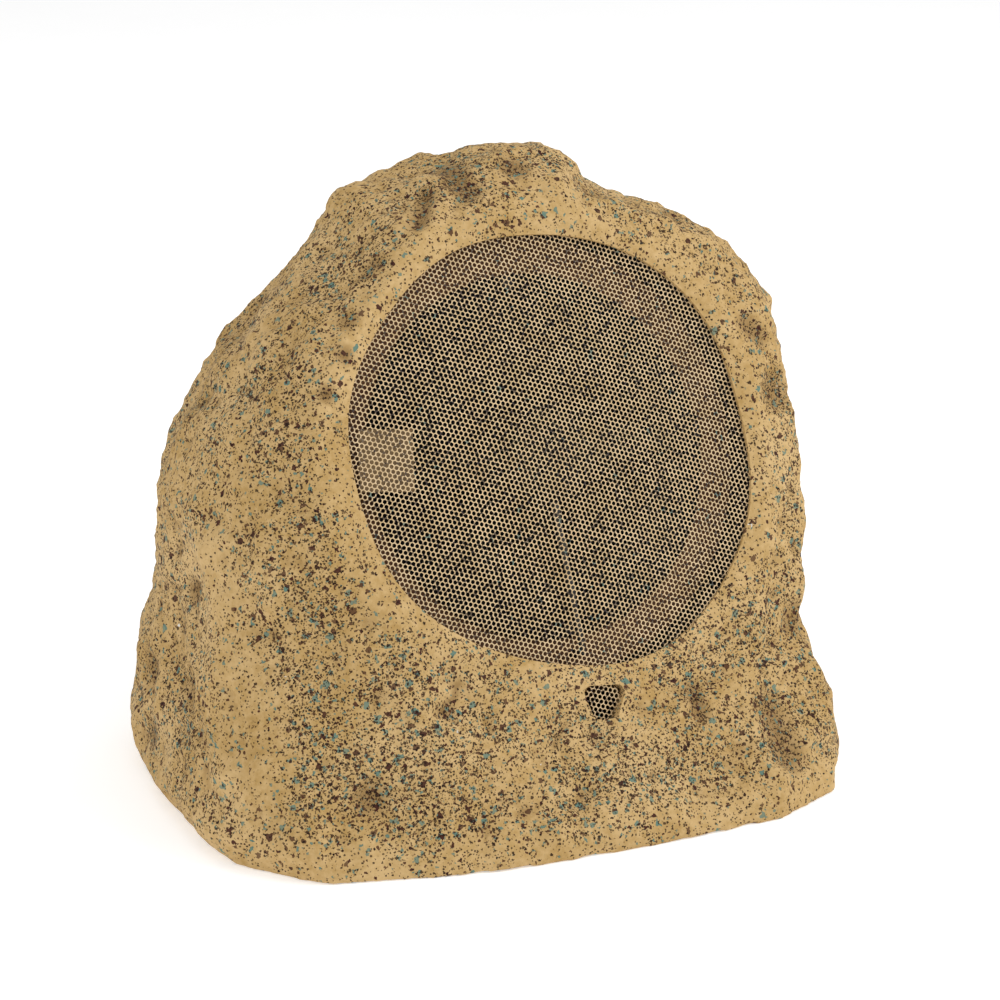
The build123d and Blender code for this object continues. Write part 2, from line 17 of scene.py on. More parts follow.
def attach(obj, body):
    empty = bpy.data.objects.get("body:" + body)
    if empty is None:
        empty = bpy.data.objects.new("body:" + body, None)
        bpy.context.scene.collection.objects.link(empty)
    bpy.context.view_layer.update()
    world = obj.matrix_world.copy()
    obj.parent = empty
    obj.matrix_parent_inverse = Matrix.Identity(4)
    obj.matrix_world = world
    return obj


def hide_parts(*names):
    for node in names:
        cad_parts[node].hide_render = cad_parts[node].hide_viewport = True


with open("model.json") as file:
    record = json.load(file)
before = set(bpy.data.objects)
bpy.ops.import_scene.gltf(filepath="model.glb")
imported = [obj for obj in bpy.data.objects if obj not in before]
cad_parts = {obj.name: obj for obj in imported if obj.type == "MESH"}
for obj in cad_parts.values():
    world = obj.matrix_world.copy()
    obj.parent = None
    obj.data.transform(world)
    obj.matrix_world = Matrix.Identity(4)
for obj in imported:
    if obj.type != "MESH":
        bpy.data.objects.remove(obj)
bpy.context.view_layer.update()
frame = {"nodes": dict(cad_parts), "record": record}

log = logging.getLogger("garden_speaker")

MM = 0.001
TINY = 1e-9
SQRT3 = math.sqrt(3.0)
Colour = tuple[float, float, float]
Place = tuple[float, float, float]
Span = tuple[float, float]
Rows = np.ndarray
Piece = bpy.types.Object
Socket = bpy.types.NodeSocket
Inputs = bpy.types.NodeInputs
Outputs = bpy.types.NodeOutputs


# Hand tools


def lone(piece: Piece) -> None:
    """Leaves only this piece selected, and makes it the active one.

    Args:
        piece: the object that the next operators act on.
    """
    bpy.ops.object.select_all(action="DESELECT")
    piece.select_set(True)
    bpy.context.view_layer.objects.active = piece


@contextmanager
def edit_mode(piece: Piece, whole: bool = True) -> Iterator[None]:
    """Opens a piece in edit mode, and goes back to object mode afterwards.

    Args:
        piece: the mesh object, in object mode.
        whole: whether all of it is selected first.
    """
    lone(piece)
    bpy.ops.object.mode_set(mode="EDIT")
    if whole:
        bpy.ops.mesh.select_all(action="SELECT")
    yield
    bpy.ops.object.mode_set(mode="OBJECT")


def read_rows(items: bpy.types.bpy_prop_collection, name: str) -> Rows:
    """Reads an x, y, z property of every point or face of a mesh.

    Args:
        items: the mesh's points, faces or normals.
        name: the property's name.

    Returns:
        One row of x, y, z for each item.
    """
    flat = np.empty(len(items) * 3, dtype=np.float32)
    items.foreach_get(name, flat)
    return flat.reshape(-1, 3).astype(np.float64)


def points_of(piece: Piece) -> Rows:
    """Reads a mesh's points, one row for each."""
    return read_rows(piece.data.vertices, "co")


def normals_of(piece: Piece) -> Rows:
    """Reads the direction out of the mesh at each point."""
    return read_rows(piece.data.vertex_normals, "vector")


def face_centres(piece: Piece) -> Rows:
    """Reads the middle of each face."""
    return read_rows(piece.data.polygons, "center")


def face_normals(piece: Piece) -> Rows:
    """Reads the direction of each face."""
    return read_rows(piece.data.polygons, "normal")


def set_points(piece: Piece, points: Rows) -> None:
    """Moves a mesh's points to new places, one row of x, y, z for each."""
    piece.data.vertices.foreach_set("co", np.ascontiguousarray(points, dtype=np.float32).ravel())
    piece.data.update()


def drop_faces(piece: Piece, wanted: Rows) -> None:
    """Deletes faces, with the points that only they used.

    Args:
        piece: the mesh object, in object mode.
        wanted: one true or false for each face.
    """
    mesh = piece.data
    for items, chosen in ((mesh.vertices, False), (mesh.edges, False), (mesh.polygons, wanted)):
        items.foreach_set("select", np.broadcast_to(chosen, len(items)).astype(bool))
    bpy.context.tool_settings.mesh_select_mode = (False, False, True)
    with edit_mode(piece, whole=False):
        bpy.ops.mesh.delete(type="FACE")


def merge_points(piece: Piece, reach: float) -> None:
    """Merges the points that lie within reach of each other."""
    with edit_mode(piece):
        bpy.ops.mesh.remove_doubles(threshold=reach)


def cap_holes(piece: Piece) -> None:
    """Closes every open edge loop of a mesh and turns its faces outwards.

    Args:
        piece: the mesh object, in object mode.
    """
    with edit_mode(piece):
        bpy.ops.mesh.fill_holes(sides=0)
        bpy.ops.mesh.select_all(action="SELECT")
        bpy.ops.mesh.quads_convert_to_tris()
        bpy.ops.mesh.normals_make_consistent(inside=False)


def finish_with(piece: Piece, kind: str, **settings: object) -> None:
    """Adds one modifier and applies it.

    Args:
        piece: the object that gets it.
        kind: the modifier's type.
        settings: its properties, by name.
    """
    lone(piece)
    modifier = piece.modifiers.new(kind.lower(), kind)
    for name, value in settings.items():
        setattr(modifier, name, value)
    bpy.ops.object.modifier_apply(modifier=modifier.name)


def thicken(piece: Piece, thickness: float) -> None:
    """Gives a flat piece its thickness, behind its front."""
    finish_with(piece, "SOLIDIFY", thickness=thickness, offset=-1.0)


def smooth_faces(piece: Piece, degrees: float) -> None:
    """Shades smooth across edges flatter than the angle."""
    lone(piece)
    bpy.ops.object.shade_smooth_by_angle(angle=math.radians(degrees))


def copy_of_node(node: str, name: str) -> Piece:
    """Copies a CAD node's mesh into a new piece, with its loose triangles merged.

    Args:
        node: the CAD node.
        name: the new object's name.

    Returns:
        The new object.
    """
    piece = bpy.data.objects.new(name, frame["nodes"][node].data.copy())
    piece.data.materials.clear()
    bpy.context.scene.collection.objects.link(piece)
    lone(piece)
    bpy.ops.mesh.customdata_custom_splitnormals_clear()
    merge_points(piece, 0.01 * MM)
    return piece


def smoothstep(low: float, high: float, values: Rows) -> Rows:
    """Eases values from 0 at low to 1 at high."""
    t = np.clip((values - low) / (high - low), 0.0, 1.0)
    return t * t * (3.0 - 2.0 * t)


def turned(flat: Rows, angle: float) -> Rows:
    """Turns rows of x, y about the origin."""
    cos, sin = math.cos(angle), math.sin(angle)
    return flat @ np.array([[cos, sin], [-sin, cos]])


class Neighbours:
    """The edges of a mesh, for averaging values over neighbouring points."""

    def __init__(self, piece: Piece) -> None:
        """Reads the mesh's edges.

        Args:
            piece: the mesh object.
        """
        pairs = np.empty(len(piece.data.edges) * 2, dtype=np.int32)
        piece.data.edges.foreach_get("vertices", pairs)
        self.first, self.second = pairs[0::2], pairs[1::2]
        self.count = len(piece.data.vertices)
        self.degree = np.maximum(np.bincount(pairs, minlength=self.count), 1)

    def eased(self, values: Rows, share: float) -> Rows:
        """Moves each point's value towards the mean of its neighbours' values.

        Args:
            values: one value for each point.
            share: how much of the way it goes.

        Returns:
            One new value for each point.
        """
        total = np.bincount(self.first, weights=values[self.second], minlength=self.count)
        total += np.bincount(self.second, weights=values[self.first], minlength=self.count)
        return (1.0 - share) * values + share * (total / self.degree)


# Places


@dataclass(frozen=True)
class FrontFace:
    """The leaning front of the boulder: u runs across it, v up it and w out of it.

    Sizes are in metres, and w is zero on the face.
    """

    across: float = 16.0 * MM
    height: float = 169.0 * MM
    foot: float = -116.0 * MM
    lean: float = math.radians(24.0)

    @property
    def outward(self) -> Rows:
        """The direction out of the face."""
        return np.array((0.0, -math.cos(self.lean), math.sin(self.lean)))

    @property
    def matrix(self) -> Matrix:
        """Turns face places into places in the frame."""
        up = Vector((0.0, math.sin(self.lean), math.cos(self.lean)))
        turn = Matrix((Vector((1.0, 0.0, 0.0)), up, Vector(self.outward))).transposed().to_4x4()
        centre = Vector((self.across, self.foot + self.height * math.tan(self.lean), self.height))
        return Matrix.Translation(centre) @ turn

    def local(self, points: Rows) -> Rows:
        """Gives u, v and w for each row of x, y, z."""
        back = np.array(self.matrix.inverted())
        return points @ back[:3, :3].T + back[:3, 3]

    def place(self, points: Rows) -> Rows:
        """Gives x, y, z for each row of u, v, w."""
        out = np.array(self.matrix)
        return points @ out[:3, :3].T + out[:3, 3]


@dataclass(frozen=True)
class Opening:
    """The hand-cut, not quite round grille opening."""

    cad_radius: float = 106.0 * MM
    radius: float = 105.5 * MM
    front_depth: float = 30.0 * MM
    waves: tuple[tuple[int, float, float], ...] = (
        (1, 2.3 * MM, math.radians(12.0)),
        (2, 1.5 * MM, math.radians(282.0)),
        (3, 1.5 * MM, math.radians(183.0)),
        (4, 1.1 * MM, math.radians(144.0)),
        (6, 0.8 * MM, math.radians(245.0)),
        (8, 0.4 * MM, math.radians(185.0)),
    )

    def reach(self, angle: Rows) -> Rows:
        """Gives the opening's radius at each angle.

        Args:
            angle: the angles, from u towards v.

        Returns:
            One radius for each angle.
        """
        total = np.full_like(angle, self.radius)
        for turns, size, phase in self.waves:
            total = total + size * np.cos(turns * angle - phase)
        return total

    def beyond(self, places: Rows) -> Rows:
        """Gives how far places lie outside the opening's edge.

        Args:
            places: one row of u, v, w for each place.

        Returns:
            One distance for each place, without end behind the front.
        """
        u, v, w = places.T
        outside = np.hypot(u, v) - self.reach(np.arctan2(v, u))
        return np.where(w > -self.front_depth, outside, math.inf)


@dataclass(frozen=True)
class Vent:
    """The small vent under the opening. Boxes are half a width and half a height."""

    middle: float = -121.5 * MM
    hole: Span = (12.0 * MM, 10.0 * MM)
    walls: Span = (16.0 * MM, 13.0 * MM)

    def near(self, places: Rows, box: Span) -> Rows:
        """Marks the face places in a box around the vent's middle."""
        return (np.abs(places[:, 0]) < box[0]) & (np.abs(places[:, 1] - self.middle) < box[1])


FACE = FrontFace()
OPENING = Opening()
VENT = Vent()


# Node groups and finishes


class Sheet:
    """Adds and joins nodes in one node tree."""

    def __init__(self, tree: bpy.types.NodeTree) -> None:
        """Keeps the tree that the nodes go into."""
        self.tree = tree

    def add(self, kind: str, inputs: dict | None = None, **settings: object) -> bpy.types.Node:
        """Adds one node.

        Args:
            kind: the node's type name, without the ShaderNode in front.
            inputs: values or output sockets for its inputs, by name or number.
            settings: the node's own properties.

        Returns:
            The new node.
        """
        node = self.tree.nodes.new(kind if kind.startswith("Node") else "ShaderNode" + kind)
        for name, value in settings.items():
            setattr(node, name, value)
        self.fill(node.inputs, inputs or {})
        return node

    def fill(self, sockets: Inputs, values: dict) -> None:
        """Links output sockets to inputs, or sets the inputs' own values.

        Args:
            sockets: the inputs of a node.
            values: a value or an output socket for some of them, by name or number.
        """
        for name, value in values.items():
            socket = sockets[name]
            if isinstance(value, Socket):
                self.tree.links.new(value, socket)
            elif isinstance(value, tuple) and len(value) == 3 and socket.type == "RGBA":
                socket.default_value = (*value, 1.0)
            else:
                socket.default_value = value

    def maths(self, operation: str, *values: object) -> Socket:
        """Adds a Math node and gives its result."""
        return self.add("Math", dict(enumerate(values)), operation=operation).outputs[0]

    def vectors(self, operation: str, inputs: dict) -> Socket:
        """Adds a Vector Math node and gives its result."""
        return self.add("VectorMath", inputs, operation=operation).outputs[0]

    def noise(self, where: object, scale: object, detail: float, roughness: float = 0.5) -> Outputs:
        """Adds a noise texture and gives its outputs."""
        inputs = {"Vector": where, "Scale": scale, "Detail": detail, "Roughness": roughness}
        return self.add("TexNoise", inputs).outputs

    def blend(self, share: object, first: object, second: object) -> Socket:
        """Mixes a share of the second colour into the first."""
        return self.add("Mix", {0: share, 6: first, 7: second}, data_type="RGBA").outputs[2]

    def mingle(self, share: float, first: object, second: object) -> Socket:
        """Mixes a share of the second value into the first."""
        return self.maths("MULTIPLY_ADD", second, share, self.maths("MULTIPLY", first, 1.0 - share))

    def span(self, value: object, given: Span, low: object = 0.0, high: object = 1.0) -> Socket:
        """Maps a value from the given range to the one from low to high, held at the ends."""
        return self.add("MapRange", {0: value, 1: given[0], 2: given[1], 3: low, 4: high}).outputs[0]

    def bump(self, height: object, relief: float) -> Socket:
        """Adds a bump of a height map and gives its normal."""
        return self.add("Bump", {"Height": height, "Distance": relief, "Strength": 1.0}).outputs["Normal"]


class Effect(Enum):
    """The shared node groups, by name."""

    SPECKLE = "mineral_speckle"
    GRAIN = "fine_grain"
    TONE = "sandstone_tone"


@dataclass
class Effects:
    """Builds each shared node group once. Waves are counted in a cell or a metre."""

    ripples: float = 2.2
    ripple_shift: float = 0.9
    chip_sizes: Span = (0.45, 1.2)
    chip_fading: float = 0.22
    finer: float = 9.0
    fine_share: float = 0.45
    grain_colour: Span = (0.35, 0.65)
    grain_gloss: Span = (0.3, 0.7)
    broad_waves: float = 24.0
    fine_waves: float = 240.0
    pale_from: Span = (0.38, 0.6)
    # Painted shade in the hollows is blotchy: its share rises with the broad noise, from sunk_least to one.
    sunk_from: Span = (0.35, 0.6)
    sunk_least: float = 0.5

    def __post_init__(self) -> None:
        """Builds the three groups."""
        makers = {Effect.SPECKLE: self._speckle, Effect.GRAIN: self._grain, Effect.TONE: self._tone}
        self.groups = {effect: maker() for effect, maker in makers.items()}

    @staticmethod
    def _open(effect: Effect, inputs: dict, outputs: dict) -> tuple[Sheet, Outputs, Inputs]:
        """Starts a group with its sockets.

        Args:
            effect: which group.
            inputs: the names of its inputs, by the type of socket.
            outputs: the names of its outputs, by the type of socket.

        Returns:
            The group's sheet, the sockets that it is given and the sockets that it fills.
        """
        tree = bpy.data.node_groups.new(effect.value, "ShaderNodeTree")
        for way, sockets in (("INPUT", inputs), ("OUTPUT", outputs)):
            for kind, names in sockets.items():
                for name in names.split():
                    tree.interface.new_socket(name=name, in_out=way, socket_type="NodeSocket" + kind)
        sheet = Sheet(tree)
        return sheet, sheet.add("NodeGroupInput").outputs, sheet.add("NodeGroupOutput").inputs

    def _speckle(self) -> bpy.types.NodeTree:
        """Scatters irregular chips of one colour over another.

        Returns:
            The group's tree.
        """
        sheet, given, made = self._open(
            Effect.SPECKLE,
            {"Vector": "Vector", "Color": "Base Chip", "Float": "Scale Size Share"},
            {"Color": "Color", "Float": "Mask"},
        )
        where, scale, base = given["Vector"], given["Scale"], given["Base"]
        ripple = sheet.noise(where, sheet.maths("MULTIPLY", scale, self.ripples), 1.0)
        centred = sheet.vectors("SUBTRACT", {0: ripple["Color"], 1: (0.5, 0.5, 0.5)})
        shift = sheet.vectors("SCALE", {0: centred, "Scale": sheet.maths("DIVIDE", self.ripple_shift, scale)})
        place = sheet.vectors("ADD", {0: where, 1: shift})
        cells = sheet.add("TexVoronoi", {"Vector": place, "Scale": scale}).outputs
        chance = sheet.add("SeparateColor", {0: cells["Color"]}).outputs
        size = sheet.maths("MULTIPLY", given["Size"], sheet.span(chance[0], (0.0, 1.0), *self.chip_sizes))
        inside = sheet.maths("LESS_THAN", cells["Distance"], size)
        mask = sheet.maths("MULTIPLY", inside, sheet.maths("LESS_THAN", chance[1], given["Share"]))
        fading = sheet.span(chance[2], (0.0, 1.0), 0.0, self.chip_fading)
        tinted = sheet.blend(fading, given["Chip"], base)
        sheet.fill(made, {"Color": sheet.blend(mask, base, tinted), "Mask": mask})
        return sheet.tree

    def _grain(self) -> bpy.types.NodeTree:
        """Gives an uneven colour, an uneven gloss and a fine height.

        Returns:
            The group's tree.
        """
        sheet, given, made = self._open(
            Effect.GRAIN,
            {"Vector": "Vector", "Color": "Dark Light", "Float": "Scale Smooth Rough"},
            {"Color": "Color", "Float": "Roughness Height"},
        )
        where, scale = given["Vector"], given["Scale"]
        broad = sheet.noise(where, scale, 4.0)["Fac"]
        fine = sheet.noise(where, sheet.maths("MULTIPLY", scale, self.finer), 3.0)["Fac"]
        mixed = sheet.mingle(self.fine_share, broad, fine)
        colour = sheet.blend(sheet.span(mixed, self.grain_colour), given["Dark"], given["Light"])
        rough = sheet.span(mixed, self.grain_gloss, given["Smooth"], given["Rough"])
        sheet.fill(made, {"Color": colour, "Roughness": rough, "Height": fine})
        return sheet.tree

    def _tone(self) -> bpy.types.NodeTree:
        """Washes a stone colour: pale on the ridges, ochre and dark in the hollows as painted shade.

        Returns:
            The group's tree.
        """
        sheet, given, made = self._open(
            Effect.TONE,
            {"Vector": "Vector", "Float": "Hollow", "Color": "Pale Mid Deep"},
            {"Color": "Color", "Float": "Height"},
        )
        broad = sheet.noise(given["Vector"], self.broad_waves, 5.0, 0.6)["Fac"]
        fine = sheet.noise(given["Vector"], self.fine_waves, 4.0, 0.65)["Fac"]
        height = sheet.mingle(0.5, broad, fine)
        pale = sheet.blend(sheet.span(height, self.pale_from), given["Mid"], given["Pale"])
        # Painted shade: blends towards the shade colour where the boulder is hollow, blotchy by the broad
        # noise.
        sunk = sheet.maths("MULTIPLY", given["Hollow"], sheet.span(broad, self.sunk_from, self.sunk_least))
        sheet.fill(made, {"Color": sheet.blend(sunk, pale, given["Deep"]), "Height": height})
        return sheet.tree

    def place(self, sheet: Sheet, effect: Effect, inputs: dict) -> Outputs:
        """Puts a group into a material's sheet and gives its outputs."""
        return sheet.add("Group", inputs, node_tree=self.groups[effect]).outputs


EFFECTS = Effects()


def new_material(name: str) -> tuple[bpy.types.Material, Sheet, Inputs, Socket]:
    """Starts a material.

    Args:
        name: the material's name.

    Returns:
        The material, its sheet, the inputs of its shader and the place on the piece.
    """
    material = bpy.data.materials.new(name)
    material.use_nodes = True
    sheet = Sheet(material.node_tree)
    shader = material.node_tree.nodes["Principled BSDF"].inputs
    return material, sheet, shader, sheet.add("TexCoord").outputs["Object"]


@dataclass(frozen=True)
class PlainFinish:
    """A moulded, painted, metal or cloth finish with an uneven grain."""

    name: str
    dark: Colour
    light: Colour
    scale: float = 60.0
    smooth: float = 0.4
    rough: float = 0.6
    metallic: float = 0.0
    relief: float = 0.05 * MM
    shine: float = 0.5

    def grain(self, sheet: Sheet, where: Socket) -> Outputs:
        """Puts the grain's group into a material's sheet and gives its outputs."""
        gloss = {"Smooth": self.smooth, "Rough": self.rough}
        inputs = {"Vector": where, "Dark": self.dark, "Light": self.light, "Scale": self.scale} | gloss
        return EFFECTS.place(sheet, Effect.GRAIN, inputs)

    def material(self) -> bpy.types.Material:
        """Builds the finish's material.

        Returns:
            The new material.
        """
        material, sheet, shader, where = new_material(self.name)
        grain = self.grain(sheet, where)
        looks = {
            "Base Color": grain["Color"],
            "Roughness": grain["Roughness"],
            "Normal": sheet.bump(grain["Height"], self.relief),
            "Metallic": self.metallic,
            "Specular IOR Level": self.shine,
        }
        sheet.fill(shader, looks)
        return material


@dataclass(frozen=True)
class Chip:
    """One kind of mineral chip: its colour, the cell that it has, and its size and share of the cells."""

    colour: Colour
    cell: float
    size: float
    share: float

    def scatter(self, sheet: Sheet, where: Socket, under: Socket, crowding: object = 1.0) -> Outputs:
        """Scatters the chips over a colour.

        Args:
            sheet: the material's sheet.
            where: the place on the piece.
            under: the colour underneath.
            crowding: how crowded the chips are.

        Returns:
            The new colour, and a mask of the chips.
        """
        inputs = {
            "Vector": where,
            "Base": under,
            "Chip": self.colour,
            "Scale": 1.0 / self.cell,
            "Size": self.size,
            "Share": sheet.maths("MULTIPLY", crowding, self.share),
        }
        return EFFECTS.place(sheet, Effect.SPECKLE, inputs)


@dataclass(frozen=True)
class StoneFinish:
    """Sandstone coloured resin with mineral chips of several colours."""

    name: str = "speckled_sandstone"
    pale: Colour = (0.55, 0.375, 0.17)
    mid: Colour = (0.4, 0.25, 0.085)
    # The painted shade colour that the hollows and the dents take.
    deep: Colour = (0.2, 0.112, 0.034)
    chips: tuple[Chip, ...] = (
        Chip((0.11, 0.185, 0.145), 2.6 * MM, 0.31, 0.42),
        Chip((0.11, 0.19, 0.15), 5.0 * MM, 0.31, 0.34),
        Chip((0.06, 0.017, 0.008), 2.2 * MM, 0.33, 0.55),
        Chip((0.055, 0.015, 0.008), 4.3 * MM, 0.32, 0.42),
        Chip((0.026, 0.009, 0.004), 2.0 * MM, 0.35, 0.5),
        Chip((0.014, 0.005, 0.002), 1.2 * MM, 0.4, 0.68),
        Chip((0.7, 0.66, 0.58), 6.0 * MM, 0.1, 0.02),
    )
    patch_waves: float = 34.0
    patches: Span = (0.34, 0.66)
    patch_crowding: Span = (0.45, 1.55)
    relief: float = 0.5 * MM
    pit: float = 0.35
    gloss_from: Span = (0.3, 0.7)
    gloss: Span = (0.92, 0.78)
    shine: float = 0.25

    def material(self) -> bpy.types.Material:
        """Builds the stone material, which reads the boulder's hollow and crowding attributes and darkens the
        hollows as painted shade.

        Returns:
            The new material.
        """
        material, sheet, shader, where = new_material(self.name)
        hollow, crowding = (
            sheet.add("Attribute", attribute_name=name).outputs["Fac"] for name in ("hollow", "crowding")
        )
        patches = sheet.noise(where, self.patch_waves, 3.0, 0.6)["Fac"]
        crowding = sheet.maths("MULTIPLY", crowding, sheet.span(patches, self.patches, *self.patch_crowding))
        inputs = {"Vector": where, "Hollow": hollow, "Pale": self.pale, "Mid": self.mid, "Deep": self.deep}
        # The tone darkens the hollows and the dents towards the deep colour as painted shade.
        tone = EFFECTS.place(sheet, Effect.TONE, inputs)
        colour, height = tone["Color"], tone["Height"]
        for chip in self.chips:
            layer = chip.scatter(sheet, where, colour, crowding)
            colour = layer["Color"]
            height = sheet.maths("MULTIPLY_ADD", layer["Mask"], -self.pit, height)
        looks = {
            "Base Color": colour,
            "Roughness": sheet.span(tone["Height"], self.gloss_from, *self.gloss),
            "Normal": sheet.bump(height, self.relief),
            "Specular IOR Level": self.shine,
        }
        sheet.fill(shader, looks)
        return material


@dataclass(frozen=True)
class SprayFinish:
    """Stone coloured paint sprayed with fine specks, on sheet steel."""

    paint: PlainFinish = PlainFinish(
        "speckled_paint", (0.48, 0.33, 0.155), (0.68, 0.51, 0.3), scale=90.0, smooth=0.5, rough=0.75
    )
    specks: tuple[Chip, ...] = (
        Chip((0.13, 0.19, 0.15), 4.0 * MM, 0.3, 0.12),
        Chip((0.018, 0.007, 0.005), 1.8 * MM, 0.45, 0.72),
    )

    def material(self) -> bpy.types.Material:
        """Builds the paint's material.

        Returns:
            The new material.
        """
        material, sheet, shader, where = new_material(self.paint.name)
        grain = self.paint.grain(sheet, where)
        colour = grain["Color"]
        for speck in self.specks:
            colour = speck.scatter(sheet, where, colour)["Color"]
        sheet.fill(shader, {"Base Color": colour, "Roughness": grain["Roughness"]})
        return material


def dress(piece: Piece, material: bpy.types.Material) -> None:
    """Gives every face of a piece one material."""
    piece.data.materials.clear()
    piece.data.materials.append(material)


# Pieces


@dataclass(frozen=True)
class Stroke:
    """One sculpted fold, dent or swelling: a push along the surface around a line, in millimetres."""

    start: Place
    end: Place
    reach: float
    push: float

    def share(self, points: Rows) -> Rows:
        """Gives how much of the stroke each point takes.

        Args:
            points: one row of x, y, z for each point.

        Returns:
            One share for each point, from 1 on the line to 0 at its reach.
        """
        first, last = np.array(self.start) * MM, np.array(self.end) * MM
        line = last - first
        length = float(line @ line)
        along = np.clip((points - first) @ line / length, 0.0, 1.0) if length else np.zeros(len(points))
        away = np.linalg.norm(points - first - along[:, None] * line, axis=1) / (self.reach * MM)
        return np.maximum(1.0 - away**2, 0.0) ** 2


def dent(place: Place, reach: float, push: float) -> Stroke:
    """Makes a round stroke."""
    return Stroke(place, place, reach, push)


def most(strokes: Iterable[Stroke], points: Rows) -> Rows:
    """Gives the largest share that each point takes of any of the strokes."""
    return np.max([stroke.share(points) for stroke in strokes], axis=0)


# The crest between the left flank and the front
CREST: tuple[Stroke, ...] = (
    Stroke((-148, -4, 129), (-141, -31, 96), 20, 1.6),
    Stroke((-141, -31, 96), (-140, -49, 74), 20, 2.4),
    Stroke((-140, -49, 74), (-148, -65, 39), 20, 2.4),
)

STROKES: tuple[Stroke, ...] = (
    *CREST,
    # Left flank
    dent((-158, -1, 64), 15, -3.2),
    dent((-150, 15, 107), 11, -2.4),
    dent((-166, 38, 27), 11, -2.4),
    dent((-150, 58, 100), 7, 1.4),
    dent((-152, 57, 90), 20, -3.0),
    dent((-161, 48, 57), 15, -2.6),
    Stroke((-166, 30, 6), (-165, -40, 6), 26, 4.0),
    # Upper left
    Stroke((-66, 90, 250), (-98, 75, 219), 32, -4.5),
    dent((-125, 62, 190), 24, -2.6),
    dent((-76, -6, 237), 9, -2.4),
    dent((-82, -16, 223), 7, -1.5),
    dent((-94, -23, 208), 7, -1.5),
    Stroke((-61, 10, 254), (-54, 9, 258), 8, -1.8),
    # Crown
    Stroke((-17, 31, 281), (-31, 11, 274), 8, -3.0),
    dent((-29, 30, 278), 17, -2.4),
    Stroke((2, 47, 289), (0, 23, 284), 13, -3.0),
    dent((-10, 60, 288), 18, -3.2),
    dent((-40, 75, 274), 18, 2.8),
    dent((30, 32, 289), 14, -2.2),
    dent((70, 25, 281), 17, -4.5),
    dent((95, 40, 268), 20, -3.0),
    dent((112, 18, 260), 9, -2.0),
    # Right side
    Stroke((133, -20, 211), (142, -22, 202), 8, -2.4),
    Stroke((134, -14, 219), (145, -18, 210), 12, 1.6),
    dent((146, -30, 178), 15, -5.5),
    dent((140, -64, 91), 13, 2.6),
    dent((134, -74, 73), 13, -1.8),
    dent((146, -86, 36), 14, 1.0),
    # Foot
    Stroke((103, -120, 25), (103, -104, 44), 14, -3.6),
    Stroke((64, -93, 56), (63, -101, 46), 8, -1.8),
    Stroke((66, -115, 30), (54, -125, 16), 20, -2.6),
    dent((-107, -92, 35), 13, -2.6),
    Stroke((-50, -120, 5), (50, -131, 5), 24, 3.6),
    Stroke((134, -115, 19), (118, -127, 15), 16, -3.6),
)


